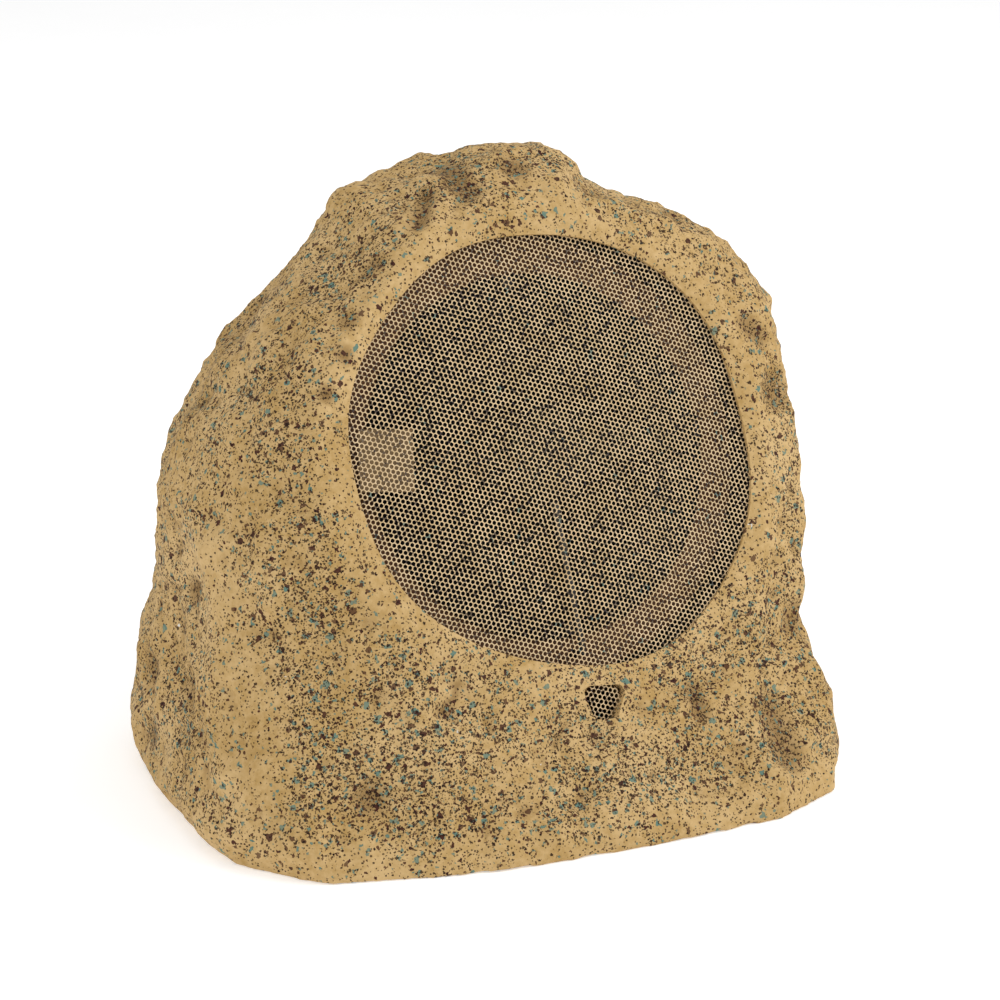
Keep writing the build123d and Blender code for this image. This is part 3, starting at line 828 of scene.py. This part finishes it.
@dataclass(frozen=True)
class Wear:
    """How the stone's colour and chips follow its shape, with painted shade in the hollows and dents and a
    painted highlight on the ridges: spans are distances, shares run from 0 to 1.
    """

    passes: int = 24
    # Painted shade: the depths over which a point takes the darker colour of the hollows.
    hollow: Span = (0.2 * MM, 1.8 * MM)
    ridge: Span = (0.2 * MM, 1.6 * MM)
    # Fewer chips on the ridges and along the crest: partly a painted highlight, partly the sparser chips
    # there.
    ridge_share: float = 0.4
    crest_share: float = 0.62
    # Painted shade in the dents no wider than the reach: darker, and more crowded with chips.
    dent_shade_reach: float = 15.0
    dent_shade_crowding: float = 0.7
    flank: Span = (125.0 * MM, 155.0 * MM)
    flank_share: float = 0.3
    rim: Span = (3.0 * MM, 30.0 * MM)
    rim_share: float = 0.55
    under_rim: Span = (60.0 * MM, 105.0 * MM)
    under_rim_share: float = 0.85
    low: Span = (30.0 * MM, 150.0 * MM)
    low_share: float = 0.2
    foot: Span = (4.0 * MM, 24.0 * MM)
    foot_share: float = 0.5
    crowding: float = 1.15

    def paint(self, skin: Piece) -> None:
        """Writes where the stone is hollow, which the finish darkens as painted shade, and how crowded its
        chips are, with more chips in the dents as painted shade and fewer on the ridges, partly as a painted
        highlight, for the finish.

        Args:
            skin: the shaped boulder.
        """
        points = points_of(skin)
        sunk = self._sunk(skin)
        # Painted shade in the smaller dents.
        shaded_dents = [stroke for stroke in STROKES if stroke.push < 0.0 and stroke.reach <= self.dent_shade_reach]
        dent_shade = most(shaded_dents, points)
        # Fewer chips on the ridges and the crest: partly a painted highlight, partly sparser chips.
        ridge_highlight_sparse = np.maximum(
            self.ridge_share * smoothstep(*self.ridge, -sunk), self.crest_share * most(CREST, points) ** 0.5
        )
        # The hollow attribute carries the painted shade of the hollows and the dents.
        hollow = np.maximum(smoothstep(*self.hollow, sunk), dent_shade)
        crowding = self._crowding(points) * (1.0 - ridge_highlight_sparse) * (1.0 + self.dent_shade_crowding * dent_shade)
        for name, values in (("hollow", hollow), ("crowding", crowding)):
            attribute = skin.data.attributes.new(name, "FLOAT", "POINT")
            attribute.data.foreach_set("value", np.ascontiguousarray(values, dtype=np.float32))

    def _sunk(self, skin: Piece) -> Rows:
        """Gives how deep each point lies under the evened surface.

        Args:
            skin: the shaped boulder.

        Returns:
            One depth for each point, below zero on a ridge.
        """
        points = points_of(skin)
        near = Neighbours(skin)
        even = points
        for _ in range(self.passes):
            even = np.column_stack([near.eased(values, 0.5) for values in even.T])
        return np.einsum("ij,ij->i", even - points, normals_of(skin))

    def _crowding(self, points: Rows) -> Rows:
        """Gives how crowded the chips are by their place: fewer at the opening, on the flank and at the foot.

        Args:
            points: the boulder's points.

        Returns:
            One crowding for each point.
        """
        places = FACE.local(points)
        rim = smoothstep(*self.rim, OPENING.beyond(places))
        rim = np.maximum(rim, self.under_rim_share * smoothstep(*self.under_rim, -places[:, 1]))
        low = 1.0 - smoothstep(*self.low, points[:, 2])
        foot = smoothstep(*self.foot, points[:, 2])
        flank = smoothstep(*self.flank, -points[:, 0])
        crowding = (self.crowding + self.low_share * low) * (1.0 - self.flank_share * flank)
        for share, shown in ((self.rim_share, rim), (self.foot_share, foot)):
            crowding *= 1.0 - share + share * shown
        return crowding


class ShellSide(IntEnum):
    """What a face of the moulded shell belongs to."""

    INSIDE = 0
    OUTSIDE = 1
    RIM = 2
    VENT = 3
    GLAND = 4
    GROUND = 5


@dataclass
class Boulder:
    """The weathered stone body, with the inner faces of the moulded shell."""

    voxel: float = 2.05 * MM
    rounding: int = 10
    lumps: tuple[Span, ...] = ((40.0 * MM, 9.0 * MM), (17.0 * MM, 5.5 * MM), (7.0 * MM, 2.2 * MM))
    free_group: str = "free"
    off_rim: Span = (2.0 * MM, 22.0 * MM)
    off_ground: float = 14.0 * MM
    ground_share: float = 0.25
    foot_height: float = 18.0 * MM
    lip: float = 4.0 * MM
    roll: float = 2.2 * MM
    roll_width: float = 11.0 * MM
    thinnest: float = 1.3 * MM
    wall_search: float = 15.0 * MM
    wall_passes: int = 10
    wall_easing: float = 0.6
    vent_spread: float = 1.28
    gland: Span = (-10.0 * MM, 24.0 * MM)
    gland_seat: float = 127.0 * MM
    gland_recess: float = 13.0 * MM
    touch: float = 0.1 * MM
    play: float = 0.5 * MM
    ground_past: float = 10.0 * MM
    vent_past: float = 20.0 * MM
    bore_past: float = 12.0 * MM
    lip_past: float = 3.0 * MM
    face_past: float = 30.0 * MM
    gland_past: float = 40.0 * MM
    smooth_angle: float = 50.0

    def build(self) -> Piece:
        """Builds the boulder.

        Returns:
            The finished piece.
        """
        skin = copy_of_node("rock_shell", "boulder")
        hollow = copy_of_node("rock_shell", "boulder_hollow")
        kinds = self._sort_faces(skin)
        inner = self._inner_wall(skin, kinds)
        self._shape_hollow(hollow, kinds)
        self._shape_skin(skin, kinds)
        even = points_of(skin)
        self._weather(skin)
        self._keep_wall(skin, even, inner)
        for cutter in (hollow, self._opening_cutter(), self._gland_cutter()):
            finish_with(skin, "BOOLEAN", operation="DIFFERENCE", solver="EXACT", object=cutter)
            log.info("cut %s: %d faces", cutter.name, len(skin.data.polygons))
            bpy.data.meshes.remove(cutter.data)
        Wear().paint(skin)
        smooth_faces(skin, self.smooth_angle)
        return skin

    def _sort_faces(self, piece: Piece) -> Rows:
        """Tells the shell's weathered outside from its inside and from the walls between them.

        Args:
            piece: the merged copy of the shell.

        Returns:
            The ShellSide of each face.
        """
        centres = face_centres(piece)
        places = FACE.local(centres)
        over_lip = places[:, 2] > -self.lip + self.touch
        along = np.abs(face_normals(piece) @ FACE.outward) < 0.5
        kinds = np.full(len(centres), int(ShellSide.INSIDE))
        in_rim = np.hypot(places[:, 0], places[:, 1]) < OPENING.cad_radius + self.play
        kinds[in_rim & over_lip] = ShellSide.RIM
        kinds[VENT.near(places, VENT.walls) & over_lip & along] = ShellSide.VENT
        kinds[self._near_gland(centres) & (centres[:, 1] > self.gland_seat - self.touch)] = ShellSide.GLAND
        kinds[centres[:, 2] < self.touch] = ShellSide.GROUND
        self._spread_outside(piece.data, kinds, int(np.argmax(centres[:, 2])))
        return kinds

    @staticmethod
    def _spread_outside(mesh: bpy.types.Mesh, kinds: Rows, start: int) -> None:
        """Marks the outside, from its highest face to the walls that bound it.

        Args:
            mesh: the shell's mesh.
            kinds: the ShellSide of each face, which this changes.
            start: the highest face.
        """
        sides: dict[tuple[int, int], list[int]] = {}
        for polygon in mesh.polygons:
            for key in polygon.edge_keys:
                sides.setdefault(key, []).append(polygon.index)
        kinds[start] = ShellSide.OUTSIDE
        waiting = [start]
        while waiting:
            for key in mesh.polygons[waiting.pop()].edge_keys:
                for other in sides[key]:
                    if kinds[other] == ShellSide.INSIDE:
                        kinds[other] = ShellSide.OUTSIDE
                        waiting.append(other)

    def _near_gland(self, points: Rows) -> Rows:
        """Marks the places in or on the recess around the cable gland."""
        away = np.hypot(points[:, 0] - self.gland[0], points[:, 2] - self.gland[1])
        return (away < self.gland_recess + self.play) & (points[:, 1] > 0.0)

    @staticmethod
    def _inner_wall(shell: Piece, kinds: Rows) -> BVHTree:
        """Keeps the shell's inner faces for measuring the wall.

        Args:
            shell: a merged copy of the shell.
            kinds: the ShellSide of each of its faces.

        Returns:
            A search tree of the inner faces.
        """
        polygons = shell.data.polygons
        faces = [polygon.vertices[:] for polygon in polygons if kinds[polygon.index] == ShellSide.INSIDE]
        return BVHTree.FromPolygons([vertex.co.copy() for vertex in shell.data.vertices], faces)

    def _shape_hollow(self, hollow: Piece, kinds: Rows) -> None:
        """Turns the shell's inner faces into a closed form that cuts the hollow.

        Args:
            hollow: a merged copy of the shell.
            kinds: the ShellSide of each of its faces.
        """
        drop_faces(hollow, (kinds != ShellSide.INSIDE) & (kinds != ShellSide.VENT))
        points = points_of(hollow)
        points[points[:, 2] < self.touch, 2] -= self.ground_past
        places = FACE.local(points)
        vent = VENT.near(places, VENT.hole) & (places[:, 2] > -self.lip - self.touch)
        places[vent, 0] *= self.vent_spread
        places[vent & (places[:, 2] > -self.lip + self.play), 2] += self.vent_past
        points[vent] = FACE.place(places[vent])
        bore = self._near_gland(points) & (points[:, 1] > self.gland_seat - self.play)
        points[bore, 1] += self.bore_past
        set_points(hollow, points)
        cap_holes(hollow)

    def _shape_skin(self, skin: Piece, kinds: Rows) -> None:
        """Closes the shell's outside and rounds it.

        Args:
            skin: a merged copy of the shell.
            kinds: the ShellSide of each of its faces.
        """
        drop_faces(skin, kinds != ShellSide.OUTSIDE)
        cap_holes(skin)
        lone(skin)
        skin.data.remesh_voxel_size = self.voxel
        bpy.ops.object.voxel_remesh()
        finish_with(skin, "SMOOTH", factor=0.5, iterations=self.rounding)
        log.info("boulder skin has %d faces", len(skin.data.polygons))

    def _weather(self, skin: Piece) -> None:
        """Adds the lumps and the strokes, and rolls the edge of the opening in.

        Args:
            skin: the rounded outside.
        """
        group = skin.vertex_groups.new(name=self.free_group)
        for index, weight in enumerate(self._freedom(points_of(skin))):
            group.add((index,), float(weight), "REPLACE")
        for number, (size, depth) in enumerate(self.lumps):
            cloud = bpy.data.textures.new(f"stone_lumps_{number}", "CLOUDS")
            cloud.noise_scale = size
            cloud.noise_depth = 2
            settings = {"texture": cloud, "texture_coords": "LOCAL", "vertex_group": self.free_group}
            finish_with(skin, "DISPLACE", strength=depth, mid_level=0.5, **settings)
        skin.vertex_groups.clear()
        points = points_of(skin)
        push = sum(stroke.push * MM * stroke.share(points) for stroke in STROKES) * self._off_rim(points)
        places = FACE.local(points + self._outwards(skin) * push[:, None])
        places[:, 2] -= self.roll * np.clip(1.0 - OPENING.beyond(places) / self.roll_width, 0.0, 1.0) ** 2
        set_points(skin, FACE.place(places))

    def _keep_wall(self, skin: Piece, even: Rows, inner: BVHTree) -> None:
        """Holds the weathering back where it would leave too thin a wall.

        Args:
            skin: the weathered outside.
            even: its points before they were weathered.
            inner: the shell's inner faces.
        """
        moved = points_of(skin) - even
        length = np.linalg.norm(moved, axis=1)
        found = (inner.find_nearest(Vector(point), self.wall_search)[3] for point in even)
        wall = np.array([self.wall_search if away is None else away for away in found])
        room = np.maximum(wall - self.thinnest, 0.0)
        inward = np.einsum("ij,ij->i", moved, normals_of(skin)) < 0.0
        held = inward & (length > room)
        share = np.where(held, room / np.maximum(length, TINY), 1.0)
        near = Neighbours(skin)
        for _ in range(self.wall_passes):
            share = np.minimum(share, near.eased(share, self.wall_easing))
        points = even + moved * share[:, None]
        points[:, 2] = np.maximum(points[:, 2], 0.0)
        set_points(skin, points)
        log.info("held the weathering back at %d points", int(held.sum()))

    def _off_rim(self, points: Rows) -> Rows:
        """Gives 0 at the opening's edge, rising to 1 away from it."""
        return smoothstep(*self.off_rim, OPENING.beyond(FACE.local(points)))

    def _freedom(self, points: Rows) -> Rows:
        """Gives how far each point may weather: nothing at the opening's edge, little on the ground."""
        lift = smoothstep(0.0, self.off_ground, points[:, 2])
        return self._off_rim(points) * (self.ground_share + (1.0 - self.ground_share) * lift)

    def _outwards(self, skin: Piece) -> Rows:
        """Gives the direction out of the skin, turned level towards the ground so that the foot stays flat.

        Args:
            skin: the lumpy outside.

        Returns:
            One direction for each point.
        """
        points = points_of(skin)
        level = points * np.array((1.0, 1.0, 0.0))
        level /= np.linalg.norm(level, axis=1)[:, None] + TINY
        lift = smoothstep(0.0, self.foot_height, points[:, 2])[:, None]
        mixed = normals_of(skin) * lift + level * (1.0 - lift)
        return mixed / (np.linalg.norm(mixed, axis=1)[:, None] + TINY)

    def _opening_cutter(self) -> Piece:
        """Makes the prism that cuts the grille opening through the lip.

        Returns:
            The cutter.
        """
        bpy.ops.mesh.primitive_cylinder_add(vertices=144, radius=1.0, depth=1.0)
        cutter = bpy.context.object
        cutter.name = "opening_cutter"
        points = points_of(cutter)
        angle = np.arctan2(points[:, 1], points[:, 0])
        reach = OPENING.reach(angle)
        depth = np.where(points[:, 2] > 0.0, self.face_past, -self.lip - self.lip_past)
        set_points(cutter, FACE.place(np.column_stack([reach * np.cos(angle), reach * np.sin(angle), depth])))
        return cutter

    def _gland_cutter(self) -> Piece:
        """Makes the cylinder that cuts the flat recess for the cable gland.

        Returns:
            The cutter.
        """
        x, z = self.gland
        bpy.ops.mesh.primitive_cylinder_add(
            vertices=48,
            radius=self.gland_recess,
            depth=self.gland_past,
            location=(x, self.gland_seat + self.gland_past / 2, z),
            rotation=(math.pi / 2, 0.0, 0.0),
        )
        bpy.ops.object.transform_apply(location=True, rotation=True, scale=True)
        cutter = bpy.context.object
        cutter.name = "gland_cutter"
        return cutter


@dataclass
class Grille:
    """The perforated, domed steel sheet, with the tab that screens the vent.

    The screen and the tab are told by their left, right, lower and upper edge.
    """

    pitch: float = 2.42 * MM
    gap: float = 1.93 * MM
    turn: float = math.radians(-22.0)
    sheet: float = 0.35 * MM
    rim: float = 111.7 * MM
    least_rim: float = 0.4 * MM
    dome_foot: float = 97.0 * MM
    dome_rise: float = 6.0 * MM
    front: float = -4.0 * MM
    flange_gap: float = 0.2 * MM
    spare: float = 0.5 * MM
    spare_columns: int = 6
    spare_rows: int = 16
    tab_room: float = 30.0 * MM
    tab_shift: float = 14.0 * MM
    screen: tuple[float, float, float, float] = (-11.5 * MM, 13.0 * MM, -132.0 * MM, -111.0 * MM)
    tab: tuple[float, float, float, float] = (-15.5 * MM, 15.5 * MM, -136.0 * MM, -109.0 * MM)
    tab_overlap: float = 1.0 * MM
    swell_middle: float = -121.0 * MM
    swell_axes: Span = (11.5 * MM, 10.5 * MM)
    swell_edge: float = 0.3
    swell_rise: float = 3.4 * MM
    smooth_angle: float = 30.0

    def build(self) -> Piece:
        """Builds the grille.

        Returns:
            The finished piece.
        """
        lattice, *plain = self._lattice(), self._ring(), self._tab()
        lone(lattice)
        for part in plain:
            part.select_set(True)
        bpy.ops.object.join()
        lattice.name = "grille_sheet"
        lattice.data.transform(FACE.matrix)
        smooth_faces(lattice, self.smooth_angle)
        return lattice

    def crown(self, radius: Rows) -> Rows:
        """Gives the height of the sheet's front over the face at each radius."""
        return self.front + self.dome_rise * np.maximum(1.0 - (radius / self.dome_foot) ** 2, 0.0)

    def _gap_corners(self, x: float, y: float) -> list[Place]:
        """Gives the six corners of one gap, from 30 degrees on."""
        corner, turns = self.gap / SQRT3, [math.radians(30.0 + 60.0 * k) for k in range(6)]
        return [(x + corner * math.cos(turn), y + corner * math.sin(turn), 0.0) for turn in turns]

    def _cell(self) -> Piece:
        """Models the webs of two neighbouring gaps, as one tile of the lattice.

        Returns:
            The tile.
        """
        half, step = self.pitch / 2.0, self.pitch * SQRT3 / 2.0
        verts: list[Place] = []
        faces: list[tuple[int, ...]] = []
        for x, y in ((0.0, 0.0), (half, step)):
            here = self._gap_corners(x, y)
            right = self._gap_corners(x + self.pitch, y)
            over = self._gap_corners(x + half, y + step)
            left = self._gap_corners(x - half, y + step)
            first = len(verts)
            verts += [here[5], right[3], right[2], here[0]]
            verts += [here[0], over[4], over[3], here[1]]
            verts += [here[1], left[5], left[4], here[2]]
            verts += [here[0], right[2], over[4], here[1], over[3], left[5]]
            faces += [tuple(range(first + k, first + k + 4)) for k in (0, 4, 8)]
            faces += [tuple(range(first + k, first + k + 3)) for k in (12, 15)]
        data = bpy.data.meshes.new("grille_tile")
        data.from_pydata(verts, [], faces)
        tile = bpy.data.objects.new("grille_tile", data)
        bpy.context.scene.collection.objects.link(tile)
        return tile

    def _lattice(self) -> Piece:
        """Repeats the tile, trims it to the opening and gives it the sheet's thickness.

        Returns:
            The perforated part of the sheet.
        """
        tile = self._cell()
        row = self.pitch * SQRT3
        columns = int(2.0 * self.rim / self.pitch) + self.spare_columns
        rows = int((2.0 * self.rim + self.tab_room) / row) + self.spare_rows
        fixed = {"use_relative_offset": False, "use_constant_offset": True}
        for count, offset in ((columns, (self.pitch, 0.0, 0.0)), (rows, (0.0, row, 0.0))):
            finish_with(tile, "ARRAY", count=count, constant_offset_displace=offset, **fixed)
        merge_points(tile, 0.05 * MM)
        points = points_of(tile)
        points[:, 0] -= columns * self.pitch / 2.0
        points[:, 1] -= rows * row / 2.0 + self.tab_shift
        points[:, :2] = turned(points[:, :2], self.turn)
        set_points(tile, points)
        centres = face_centres(tile)
        u, v = centres[:, 0], centres[:, 1]
        left, right, low, high = self.screen
        screened = (u > left) & (u < right) & (v > low) & (v < high)
        drop_faces(tile, ~(screened | (OPENING.beyond(centres) < self.spare)))
        thicken(tile, self.sheet)
        points = points_of(tile)
        u, v = points[:, 0], points[:, 1]
        across, along = u / self.swell_axes[0], (v - self.swell_middle) / self.swell_axes[1]
        swell = smoothstep(0.0, self.swell_edge, np.maximum(1.0 - across**2 - along**2, 0.0))
        points[:, 2] += self.crown(np.hypot(u, v)) + self.swell_rise * swell
        set_points(tile, points)
        return tile

    def _ring(self) -> Piece:
        """Makes the plain flange behind the lip.

        Returns:
            The flange.
        """
        bpy.ops.mesh.primitive_circle_add(vertices=144, radius=self.rim, fill_type="NOTHING")
        ring = bpy.context.object
        with edit_mode(ring):
            bpy.ops.mesh.extrude_edges_move(TRANSFORM_OT_translate={"value": (0.0, 0.0, 0.0)})
        points = points_of(ring)
        inner = points[len(points) // 2 :]
        angle = np.arctan2(inner[:, 1], inner[:, 0])
        reach = np.minimum(OPENING.reach(angle) + 0.5 * self.spare, self.rim - self.least_rim)
        inner[:, 0] = reach * np.cos(angle)
        inner[:, 1] = reach * np.sin(angle)
        points[:, 2] = self.front - self.flange_gap
        set_points(ring, points)
        thicken(ring, self.sheet)
        return ring

    def _tab(self) -> Piece:
        """Makes the plain frame around the vent's screen.

        Returns:
            The frame.
        """
        bpy.ops.mesh.primitive_grid_add(x_subdivisions=3, y_subdivisions=3, size=1.0)
        tab = bpy.context.object
        drop_faces(tab, np.linalg.norm(face_centres(tab), axis=1) < 0.1)
        points = points_of(tab)
        for axis in range(2):
            low, high = self.tab[2 * axis : 2 * axis + 2]
            inner_low, inner_high = self.screen[2 * axis : 2 * axis + 2]
            ends = np.array([low, inner_low + self.tab_overlap, inner_high - self.tab_overlap, high])
            points[:, axis] = ends[np.rint((points[:, axis] + 0.5) * 3.0).astype(int)]
        points[:, 2] = self.front - self.flange_gap
        set_points(tab, points)
        thicken(tab, self.sheet)
        return tab


@dataclass
class BadgePlate:
    """The bare plate that fills the gaps at the left of the grille."""

    width: float = 26.5 * MM
    height: float = 29.5 * MM
    place: Span = (-85.4 * MM, 8.5 * MM)
    turn: float = math.radians(-9.0)
    behind: float = 1.0 * MM
    thickness: float = 0.8 * MM
    edge: float = 0.3 * MM
    smooth_angle: float = 40.0

    def build(self, grille: Grille) -> Piece:
        """Builds the plate so that it hugs the back of the sheet.

        Args:
            grille: the sheet in front of it.

        Returns:
            The finished piece.
        """
        bpy.ops.mesh.primitive_grid_add(x_subdivisions=10, y_subdivisions=10, size=1.0)
        plate = bpy.context.object
        plate.name = "badge_blank"
        flat = points_of(plate)[:, :2] * np.array([self.width, self.height])
        flat = turned(flat, self.turn) + np.array(self.place)
        height = grille.crown(np.hypot(flat[:, 0], flat[:, 1])) - self.behind
        set_points(plate, np.column_stack([flat, height]))
        thicken(plate, self.thickness)
        finish_with(plate, "BEVEL", width=self.edge, segments=2, limit_method="ANGLE")
        plate.data.transform(FACE.matrix)
        smooth_faces(plate, self.smooth_angle)
        return plate


def grey(value: float) -> Colour:
    """Gives a colour without a hue."""
    return (value, value, value)


# Each finish has its name, two colours, the scale of its grain, and its smoothest and roughest gloss
SLOT_FINISHES: dict[str, PlainFinish] = {
    "moulded_stone": PlainFinish("shell_inside", (0.3, 0.2, 0.09), (0.42, 0.29, 0.14), 40.0, 0.7, 0.85),
    "sheet_paint": PlainFinish("sheet_back", (0.5, 0.35, 0.18), (0.6, 0.44, 0.24), 80.0, 0.5, 0.7),
    "badge_blank": PlainFinish("badge_paint", (0.13, 0.08, 0.033), (0.27, 0.175, 0.08), 70.0, 0.5, 0.7),
    "foam": PlainFinish(
        "black_foam", grey(0.003), grey(0.008), 300.0, 0.85, 0.98, relief=0.2 * MM, shine=0.1
    ),
    # Brown fibre board, made darker overall as painted shade of the recess behind the grille.
    "board_wood": PlainFinish(
        "fibre_board_painted_shade", (0.09, 0.034, 0.013), (0.15, 0.064, 0.026), 90.0, 0.8, 0.95, relief=0.1 * MM
    ),
    "screw_steel": PlainFinish(
        "blackened_screw", (0.01, 0.01, 0.011), (0.03, 0.03, 0.032), 200.0, 0.4, 0.55, metallic=0.9
    ),
    "basket_steel": PlainFinish("black_basket", grey(0.002), grey(0.006), 120.0, 0.45, 0.6, shine=0.02),
    "surround_rubber": PlainFinish("black_rubber", grey(0.002), grey(0.005), 120.0, 0.55, 0.7, shine=0.02),
    "cone_plastic": PlainFinish("black_cone", grey(0.002), grey(0.006), 160.0, 0.55, 0.7, shine=0.02),
    "coil_copper": PlainFinish(
        "enamelled_copper", (0.28, 0.1, 0.04), (0.5, 0.2, 0.08), 300.0, 0.3, 0.45, metallic=0.85
    ),
    "spider_cloth": PlainFinish(
        "varnished_cloth", (0.34, 0.2, 0.07), (0.48, 0.3, 0.12), 500.0, 0.75, 0.9, relief=0.15 * MM
    ),
    "motor_steel": PlainFinish(
        "plated_steel", (0.32, 0.3, 0.24), (0.5, 0.47, 0.38), 90.0, 0.3, 0.45, metallic=0.95
    ),
    "ferrite": PlainFinish("ferrite_ring", (0.03, 0.03, 0.032), (0.06, 0.06, 0.062), 160.0, 0.55, 0.75),
    "tweeter_plastic": PlainFinish("black_moulding", grey(0.003), grey(0.008), 140.0, 0.45, 0.6, shine=0.03),
    "dome_cloth": PlainFinish(
        "coated_silk", (0.003, 0.003, 0.004), (0.009, 0.009, 0.01), 700.0, 0.6, 0.8, 0.0, 0.1 * MM, 0.03
    ),
    "circuit_board": PlainFinish("green_laminate", (0.01, 0.08, 0.03), (0.02, 0.15, 0.06), 120.0, 0.3, 0.45),
    "capacitor_case": PlainFinish("capacitor_film", (0.35, 0.24, 0.04), (0.5, 0.36, 0.08), 120.0, 0.3, 0.45),
    "resistor_case": PlainFinish("white_ceramic", (0.55, 0.53, 0.48), (0.72, 0.7, 0.65), 160.0, 0.6, 0.8),
    "terminal_plastic": PlainFinish(
        "green_terminal", (0.01, 0.13, 0.05), (0.02, 0.22, 0.09), 120.0, 0.4, 0.55
    ),
    "lead_sleeve": PlainFinish("black_sleeve", grey(0.008), grey(0.018), 160.0, 0.4, 0.55),
    "base_plastic": PlainFinish("black_base", grey(0.012), grey(0.03), 160.0, 0.5, 0.7, relief=0.1 * MM),
    "gland_plastic": PlainFinish("grey_gland", (0.02, 0.02, 0.021), (0.045, 0.045, 0.047), 160.0, 0.4, 0.55),
}


def dress_nodes() -> None:
    """Gives every CAD node the finish of its material slot in the record."""
    made = {slot: finish.material() for slot, finish in SLOT_FINISHES.items()}
    for part in frame["record"]["subparts"]:
        dress(frame["nodes"][part["node"]], made[part["material_slot"]])


def hang(name: str, data: bpy.types.ID, place: Place, aim: Place) -> Piece:
    """Hangs a light or a camera so that it looks at a place.

    Args:
        name: the object's name.
        data: the light or the camera.
        place: where it hangs.
        aim: what it looks at.

    Returns:
        The new object.
    """
    holder = bpy.data.objects.new(name, data)
    holder.location = place
    holder.rotation_euler = (Vector(aim) - Vector(place)).to_track_quat("-Z", "Y").to_euler()
    bpy.context.scene.collection.objects.link(holder)
    return holder


@dataclass(frozen=True)
class Lamp:
    """One square soft light: its place and side in metres, and its power in watts."""

    name: str
    place: Place
    side: float
    power: float


@dataclass(frozen=True)
class Studio:
    """Pale floor, soft light and the camera."""

    camera_place: Place = (-0.5793, -1.1504, 0.6022)
    camera_aim: Place = (-0.0119, -0.0368, 0.1473)
    lens: float = 100.8
    sensor: float = 36.0
    lamps: tuple[Lamp, ...] = (
        Lamp("key", (1.5, -0.9, 1.3), 1.3, 24.5),
        Lamp("fill", (-1.7, -0.5, 1.2), 1.4, 12.0),
        Lamp("top", (0.1, 0.3, 2.0), 1.6, 6.0),
    )
    lamp_aim: Place = (0.0, 0.0, 0.14)
    sky: float = 0.6
    floor: PlainFinish = PlainFinish("pale_floor", grey(0.86), grey(0.86 * 1.02), 3.0, 0.7, 0.8)
    floor_side: float = 14.0
    floor_drop: float = 0.2 * MM
    glow: float = 0.35

    def build(self) -> None:
        """Builds the floor, the lights, the sky and the camera."""
        self._floor()
        for lamp in self.lamps:
            light = bpy.data.lights.new(lamp.name, "AREA")
            light.size = lamp.side
            light.energy = lamp.power
            hang(lamp.name, light, lamp.place, self.lamp_aim)
        world = bpy.data.worlds.new("studio")
        world.use_nodes = True
        sky = world.node_tree.nodes["Background"].inputs
        Sheet(world.node_tree).fill(sky, {"Color": grey(1.0), "Strength": self.sky})
        camera = bpy.data.cameras.new("camera")
        camera.lens = self.lens
        camera.sensor_width = self.sensor
        scene = bpy.context.scene
        scene.world = world
        scene.camera = hang("camera", camera, self.camera_place, self.camera_aim)
        scene.view_settings.view_transform = "Standard"

    def _floor(self) -> None:
        """Lays the pale floor."""
        bpy.ops.mesh.primitive_plane_add(size=self.floor_side, location=(0.0, 0.0, -self.floor_drop))
        floor = bpy.context.object
        floor.name = "floor"
        material = self.floor.material()
        shader = material.node_tree.nodes["Principled BSDF"].inputs
        glow = {"Emission Color": grey(1.0), "Emission Strength": self.glow}
        Sheet(material.node_tree).fill(shader, glow)
        dress(floor, material)


def main() -> None:
    """Builds the pieces in order and reports each one."""
    logging.basicConfig(level=logging.INFO, format="%(name)s: %(message)s")
    dress_nodes()
    grille = Grille()
    dressing = (
        (Boulder().build(), "rock_shell", "moulded_stone", StoneFinish()),
        (grille.build(), "grille", "sheet_paint", SprayFinish()),
        (BadgePlate().build(grille), "badge_plate", "badge_blank", SLOT_FINISHES["badge_blank"]),
    )
    for piece, node, slot, finish in dressing:
        dress(piece, finish.material())
        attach(piece, "root")
        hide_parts(node)
        piece.data.calc_loop_triangles()
        log.info("%s: %d triangles", piece.name, len(piece.data.loop_triangles))
    Studio().build()


if __name__ == "__main__":
    main()
